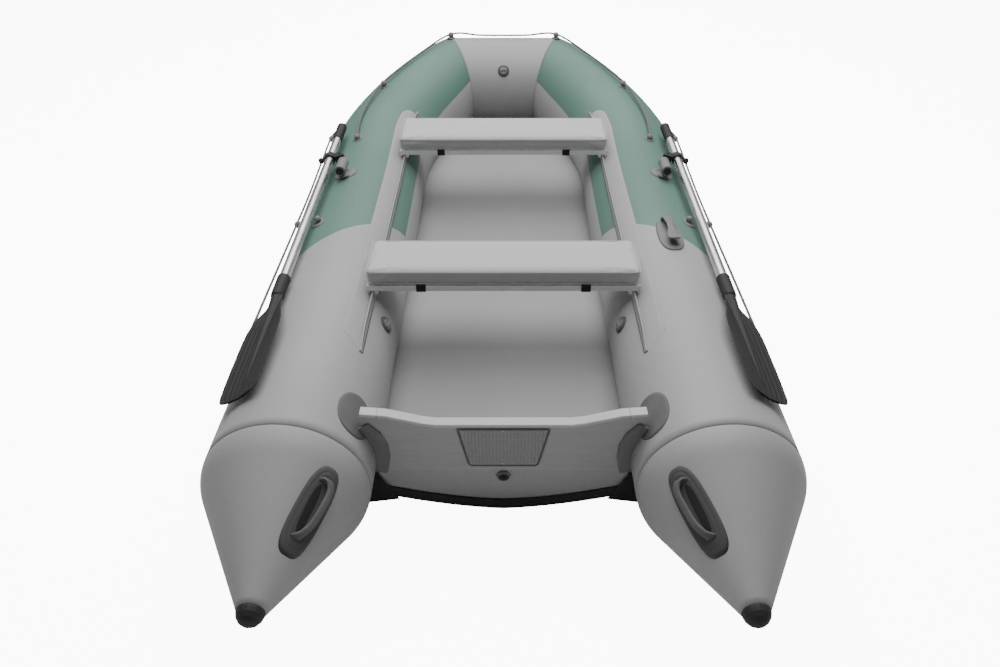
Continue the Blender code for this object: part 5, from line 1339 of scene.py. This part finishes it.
class TENDER_OT_fittings(TenderOperator):
    """Valves, carry handles and the anchor hook."""
    bl_idname = "tender.fittings"
    bl_label = "Valves and handles"

    def valve(self, name, place, out):
        """Flange with a stepped rim and a cap with a finger bar."""
        hint = (0.0, 1.0, 0.0) if abs(out[0]) > 0.5 else (1.0, 0.0, 0.0)
        axes = basis(out, hint)
        flange = [(0.0192, 0.0010), (0.0192, 0.0066), (0.0205, 0.0072), (0.0225, 0.0066),
                  (0.0240, 0.0050), (0.0270, 0.0042), (0.0278, 0.0025), (0.0278, -0.0020),
                  (0.0192, -0.0020)]
        ring = turned(name + "_flange", flange, place, axes, 56, closed=True)
        finish_piece(ring, "hull", "black_plastic", look("valve_plastic"), name + "_valve")
        cap = [(1e-4, 0.0072), (0.012, 0.0074), (0.0165, 0.0078), (0.0178, 0.0068),
               (0.0182, 0.0040), (0.0182, 0.0025), (1e-4, 0.0025)]
        lid = turned(name + "_lid", cap, place, axes, 48, 12, 0.008)
        finish_piece(lid, name + "_valve_lid", "black_plastic", look("cap_grey"),
                     name + "_valve_cap")
        t = np.linspace(-1, 1, 17)[:, None]
        path = place + axes[0] * 0.0135 * t + axes[2] * (0.0095 - 0.0018 * t**4)
        bar = swept(name + "_lid_bar", path, 0.0022 + 0.0006 * t[:, 0] ** 2, 0.0036, axes[1])
        finish_piece(bar, name + "_valve_lid", "black_plastic", look("cap_grey"))

    def handle(self, side, sign):
        """Carry handle: oval base with a lip, and a flat grip that arches over a hollow; the hollow
        is a black pad under the grip, painted shade.
        """
        first, last = 0.143, 0.276
        mid, phi = (first + last) / 2, 47.5
        base = pad_on_hull(side + "_handle_base", mid, -phi, 0.1040, 0.0430, 0.0062, 2.9, 0.16)
        lip = pad_on_hull(side + "_handle_lip", mid, -phi, 0.0935, 0.0300, 0.0076, 2.9, 0.10)
        route = [(first + 0.002, 0.004, -2.0), (first + 0.002, 0.014, -1.0),
                 (first + 0.010, 0.0225, 1.5), (first + 0.030, 0.0275, 4.0), (mid, 0.0290, 4.5),
                 (last - 0.030, 0.0275, 4.0), (last - 0.010, 0.0225, 1.5),
                 (last - 0.002, 0.014, -1.0), (last - 0.002, 0.004, -2.0)]
        points = np.array([hull_point(s, -phi - turn, h) for s, h, turn in route])
        path = smooth_path(points, 50)
        out = hull_out(mid, -phi)
        ahead = unit(path[-1] - path[0])
        across = np.cross(ahead, out)
        t = np.linspace(-1, 1, 50)
        wide = 0.0092 + 0.0060 * np.clip((np.abs(t) - 0.55) / 0.35, 0, 1) ** 1.5
        grip = swept(side + "_handle_grip", path, wide, 0.0050, across, 0.8, 20)
        # painted shade: a raised black pad under the grip's arch stands in for the shade in the
        # hollow
        hollow = pad_on_hull(side + "_handle_hollow", mid, -phi + 3.5, 0.060, 0.0115, 0.0082,
                             2.6, 0.10)
        for piece in (base, lip, grip, hollow):
            if sign < 0:
                piece.data.transform(Matrix.Diagonal((-1, 1, 1, 1)))
                piece.data.flip_normals()
        finish_piece(base, "hull", "dark_rubber", look("dark_rubber"), side + "_carry_handle")
        finish_piece(lip, "hull", "dark_rubber", look("dark_rubber"))
        finish_piece(grip, "hull", "dark_rubber", look("handle_rubber"))
        finish_piece(hollow, "hull", "dark_rubber", look("black_rubber"))

    def hook(self):
        """Anchor hook: long pad and a tongue that widens to a round free end."""
        lo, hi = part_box("anchor_hook")
        s = (lo.y + hi.y) / 2 - TIP_Y
        pad = pad_on_hull("hook_pad", s, 0.5, 0.108, 0.043, 0.0050, 2.6, 0.16)
        lip = pad_on_hull("hook_lip", s, 0.5, 0.096, 0.032, 0.0060, 2.6, 0.08)
        route = [(0.088, 0.002), (0.088, 0.014), (0.080, 0.024), (0.062, 0.0295), (0.030, 0.0300),
                 (0.0, 0.0290), (-0.03, 0.0270), (-0.050, 0.0265), (-0.070, 0.0290),
                 (-0.088, 0.0360)]
        foot = hull_point(s, 0.5, 0.0)
        points = np.array([foot + np.array([0.0, d, h]) for d, h in route])
        path = smooth_path(points, 60)
        back = (foot[1] - path[:, 1])
        wide = np.interp(back, [-0.09, -0.06, -0.02, 0.005, 0.030, 0.050, 0.064],
                         [0.0200, 0.0165, 0.0115, 0.0120, 0.0170, 0.0205, 0.0210])
        wide = wide * np.sqrt(np.clip(1 - (np.clip(back - 0.066, 0, 1) / 0.0225) ** 2, 0.02, 1))
        tongue = swept("hook_tongue", path, wide, 0.0042, (1.0, 0.0, 0.0), 0.7, 20)
        finish_piece(pad, "hull", "dark_rubber", look("grey_rubber"), "anchor_hook")
        finish_piece(lip, "hull", "dark_rubber", look("grey_rubber"))
        finish_piece(tongue, "hull", "dark_rubber", look("grey_rubber"))

    def execute(self, context):
        for side, sign in SIDES + (("bow", 0.0),):
            joint = next(j for j in frame["joints"] if j["name"] == side + "_valve_turn")
            self.valve(side, np.array(joint["pos_m"], float), np.array(joint["axis"], float))
        for side, sign in SIDES:
            self.handle(side, sign)
        self.hook()
        return {"FINISHED"}


class TENDER_OT_lifelines(TenderOperator):
    """Braided lifelines and the rubber knobs that hold them."""
    bl_idname = "tender.lifelines"
    bl_label = "Lifelines"

    def side_route(self):
        """Side line's own points: station, angle and lift off the tube."""
        h = ROPE_LIFT
        span = QUARTER_S + 0.075 - LINE_AFT
        near = [(LINE_AFT - 0.045, 64, h - 0.006), (LINE_AFT - 0.02, 64, h - 0.001),
                (LINE_AFT, 64, h)]
        shares = ((0.168, 63.5), (0.36, 63), (0.5535, 63), (0.7124, 63), (0.8726, 62), (1.0, 61))
        return (near + [(LINE_AFT + span * share, phi, h) for share, phi in shares]
                + [(QUARTER_S + 0.13, 60.5, h - 0.008)])

    def bow_route(self):
        """Bow line's own points from the starboard end to the corner."""
        q = QUARTER_S
        h = ROPE_LIFT
        return [(q - 0.094, 12, h - 0.006), (q + 0.06, 14, h - 0.006), (q + 0.19, 15, h - 0.006),
                (q + 0.34, 15, h), (q + 0.48, 13, h - 0.006), (q + 0.62, 11, h - 0.006)]

    def rope(self, name, points, count, radius):
        """Three-strand rope: circle of radius r (1 + 0.07 cos(3 (a - twist))) along a path."""
        path = smooth_path(points, count)
        tangent = unit(np.gradient(path, axis=0))
        side = unit(np.cross(tangent, [0.02, 0.0, 1.0]))
        normal = np.cross(side, tangent)
        run = np.r_[0, np.cumsum(np.linalg.norm(np.diff(path, axis=0), axis=1))]
        a = np.linspace(0, 2 * np.pi, 14, endpoint=False)
        wave = 1 + 0.07 * np.cos(3 * (a[None] - run[:, None] * 2 * np.pi / 0.045))
        ring = radius * wave[..., None] * (np.cos(a)[None, :, None] * side[:, None]
                                           + np.sin(a)[None, :, None] * normal[:, None])
        return surface(name, path[:, None] + ring, wrap_v=True, caps=True)

    def holder(self, name, place, out, sign, radius, drop=0.0):
        """Rubber knob: thin flange, narrow neck and a ball for a head."""
        place = np.array(place) * [sign, 1, 1]
        out = np.array(out) * [sign, 1, 1]
        r = radius
        a = np.linspace(0, 0.75 * np.pi, 10)
        ball = 0.0142 - 0.15 * drop
        profile = [(max(1e-4, ball * math.sin(b)), 0.0155 - drop + ball * math.cos(b)) for b in a]
        profile += [(0.0086, 0.0052), (0.0105, 0.0040), (0.0150, 0.0034), (r - 0.001, 0.0028),
                    (r, 0.0018), (r, -0.0012), (1e-4, -0.0012)]
        knob = turned(name, profile, place, basis(out, (0.0, 1.0, 0.0)), 36)
        finish_piece(knob, "hull", "dark_rubber", look("grey_rubber"))

    def execute(self, context):
        fittings = context.scene.tender_fittings
        radius = fittings.rope_radius
        points = []
        for s, phi, lift in self.side_route():
            points.append(hull_point(s, phi, lift + (0.001 if s < SEAM_S else 0.0)))
        for side, sign in SIDES:
            route = np.array(points) * [sign, 1, 1]
            line = self.rope(side + "_side_rope", route, 420, radius)
            finish_piece(line, "hull", "black_webbing", look("rope_braid"),
                         side + "_lifeline")
            for k in (2, 5, 8):
                s, phi, lift = self.side_route()[k]
                self.holder("%s_holder_%d" % (side, k // 3 + 1), hull_point(s, phi, 0.0),
                            hull_out(s, phi), sign, fittings.holder_radius)
        run = [hull_point(s, phi, lift) for s, phi, lift in self.bow_route()]
        crest = BOW_Z + TUBE_R + ROPE_LIFT
        corner = np.array([BOW_HALF + 0.028, BOW_Y + 0.020, crest])
        run += [corner, np.array([BOW_HALF * 0.5, BOW_Y + 0.021, crest - 0.005])]
        centre = np.array([0.0, BOW_Y + 0.022, crest - 0.006])
        whole = run + [centre] + [q * [-1, 1, 1] for q in run[::-1]]
        line = self.rope("bow_rope", whole, 480, radius)
        finish_piece(line, "hull", "black_webbing", look("rope_braid"), "bow_lifeline")
        for side, sign in SIDES:
            for k in (0, 3):
                s, phi, lift = self.bow_route()[k]
                self.holder("%s_bow_holder_%d" % (side, k // 3 + 1), hull_point(s, phi, 0.0),
                            hull_out(s, phi), sign, fittings.holder_radius,
                            0.0 if k else 0.006)
            spot = corner - [0, 0, ROPE_LIFT - 0.001]
            self.holder(side + "_corner_holder", spot, (0.02, 0.06, 1.0), sign,
                        fittings.holder_radius)
        return {"FINISHED"}


OPERATORS = (TENDER_OT_stage, TENDER_OT_tubes, TENDER_OT_floor, TENDER_OT_transom,
             TENDER_OT_rails, TENDER_OT_benches, TENDER_OT_oars, TENDER_OT_fittings,
             TENDER_OT_lifelines)
GROUPS = (("tender_hull", TenderHull), ("tender_seats", TenderSeats),
          ("tender_oars", TenderOars), ("tender_fittings", TenderFittings),
          ("tender_stage", TenderStage))


class TENDER_PT_panel(bpy.types.Panel):
    """Lists the tender's settings and operators."""
    bl_idname = "TENDER_PT_panel"
    bl_label = "Inflatable tender"
    bl_space_type = "VIEW_3D"
    bl_region_type = "UI"
    bl_category = "Tender"

    def draw(self, context):
        for name, group in GROUPS:
            box = self.layout.box()
            for key in group.__annotations__:
                box.prop(getattr(context.scene, name), key)
        for operator in OPERATORS:
            self.layout.operator(operator.bl_idname)


def register():
    """Registers the settings, the operators and the panel."""
    for name, group in GROUPS:
        bpy.utils.register_class(group)
        setattr(bpy.types.Scene, name, bpy.props.PointerProperty(type=group))
    for operator in OPERATORS:
        bpy.utils.register_class(operator)
    bpy.utils.register_class(TENDER_PT_panel)


def unregister():
    """Removes what register added."""
    bpy.utils.unregister_class(TENDER_PT_panel)
    for operator in reversed(OPERATORS):
        bpy.utils.unregister_class(operator)
    for name, group in reversed(GROUPS):
        delattr(bpy.types.Scene, name)
        bpy.utils.unregister_class(group)


def main():
    register()
    for operator in OPERATORS:
        family, verb = operator.bl_idname.split(".")
        result = getattr(getattr(bpy.ops, family), verb)()
        if "FINISHED" not in result:
            raise RuntimeError(operator.bl_label + " didn't finish")


if __name__ == "__main__":
    main()
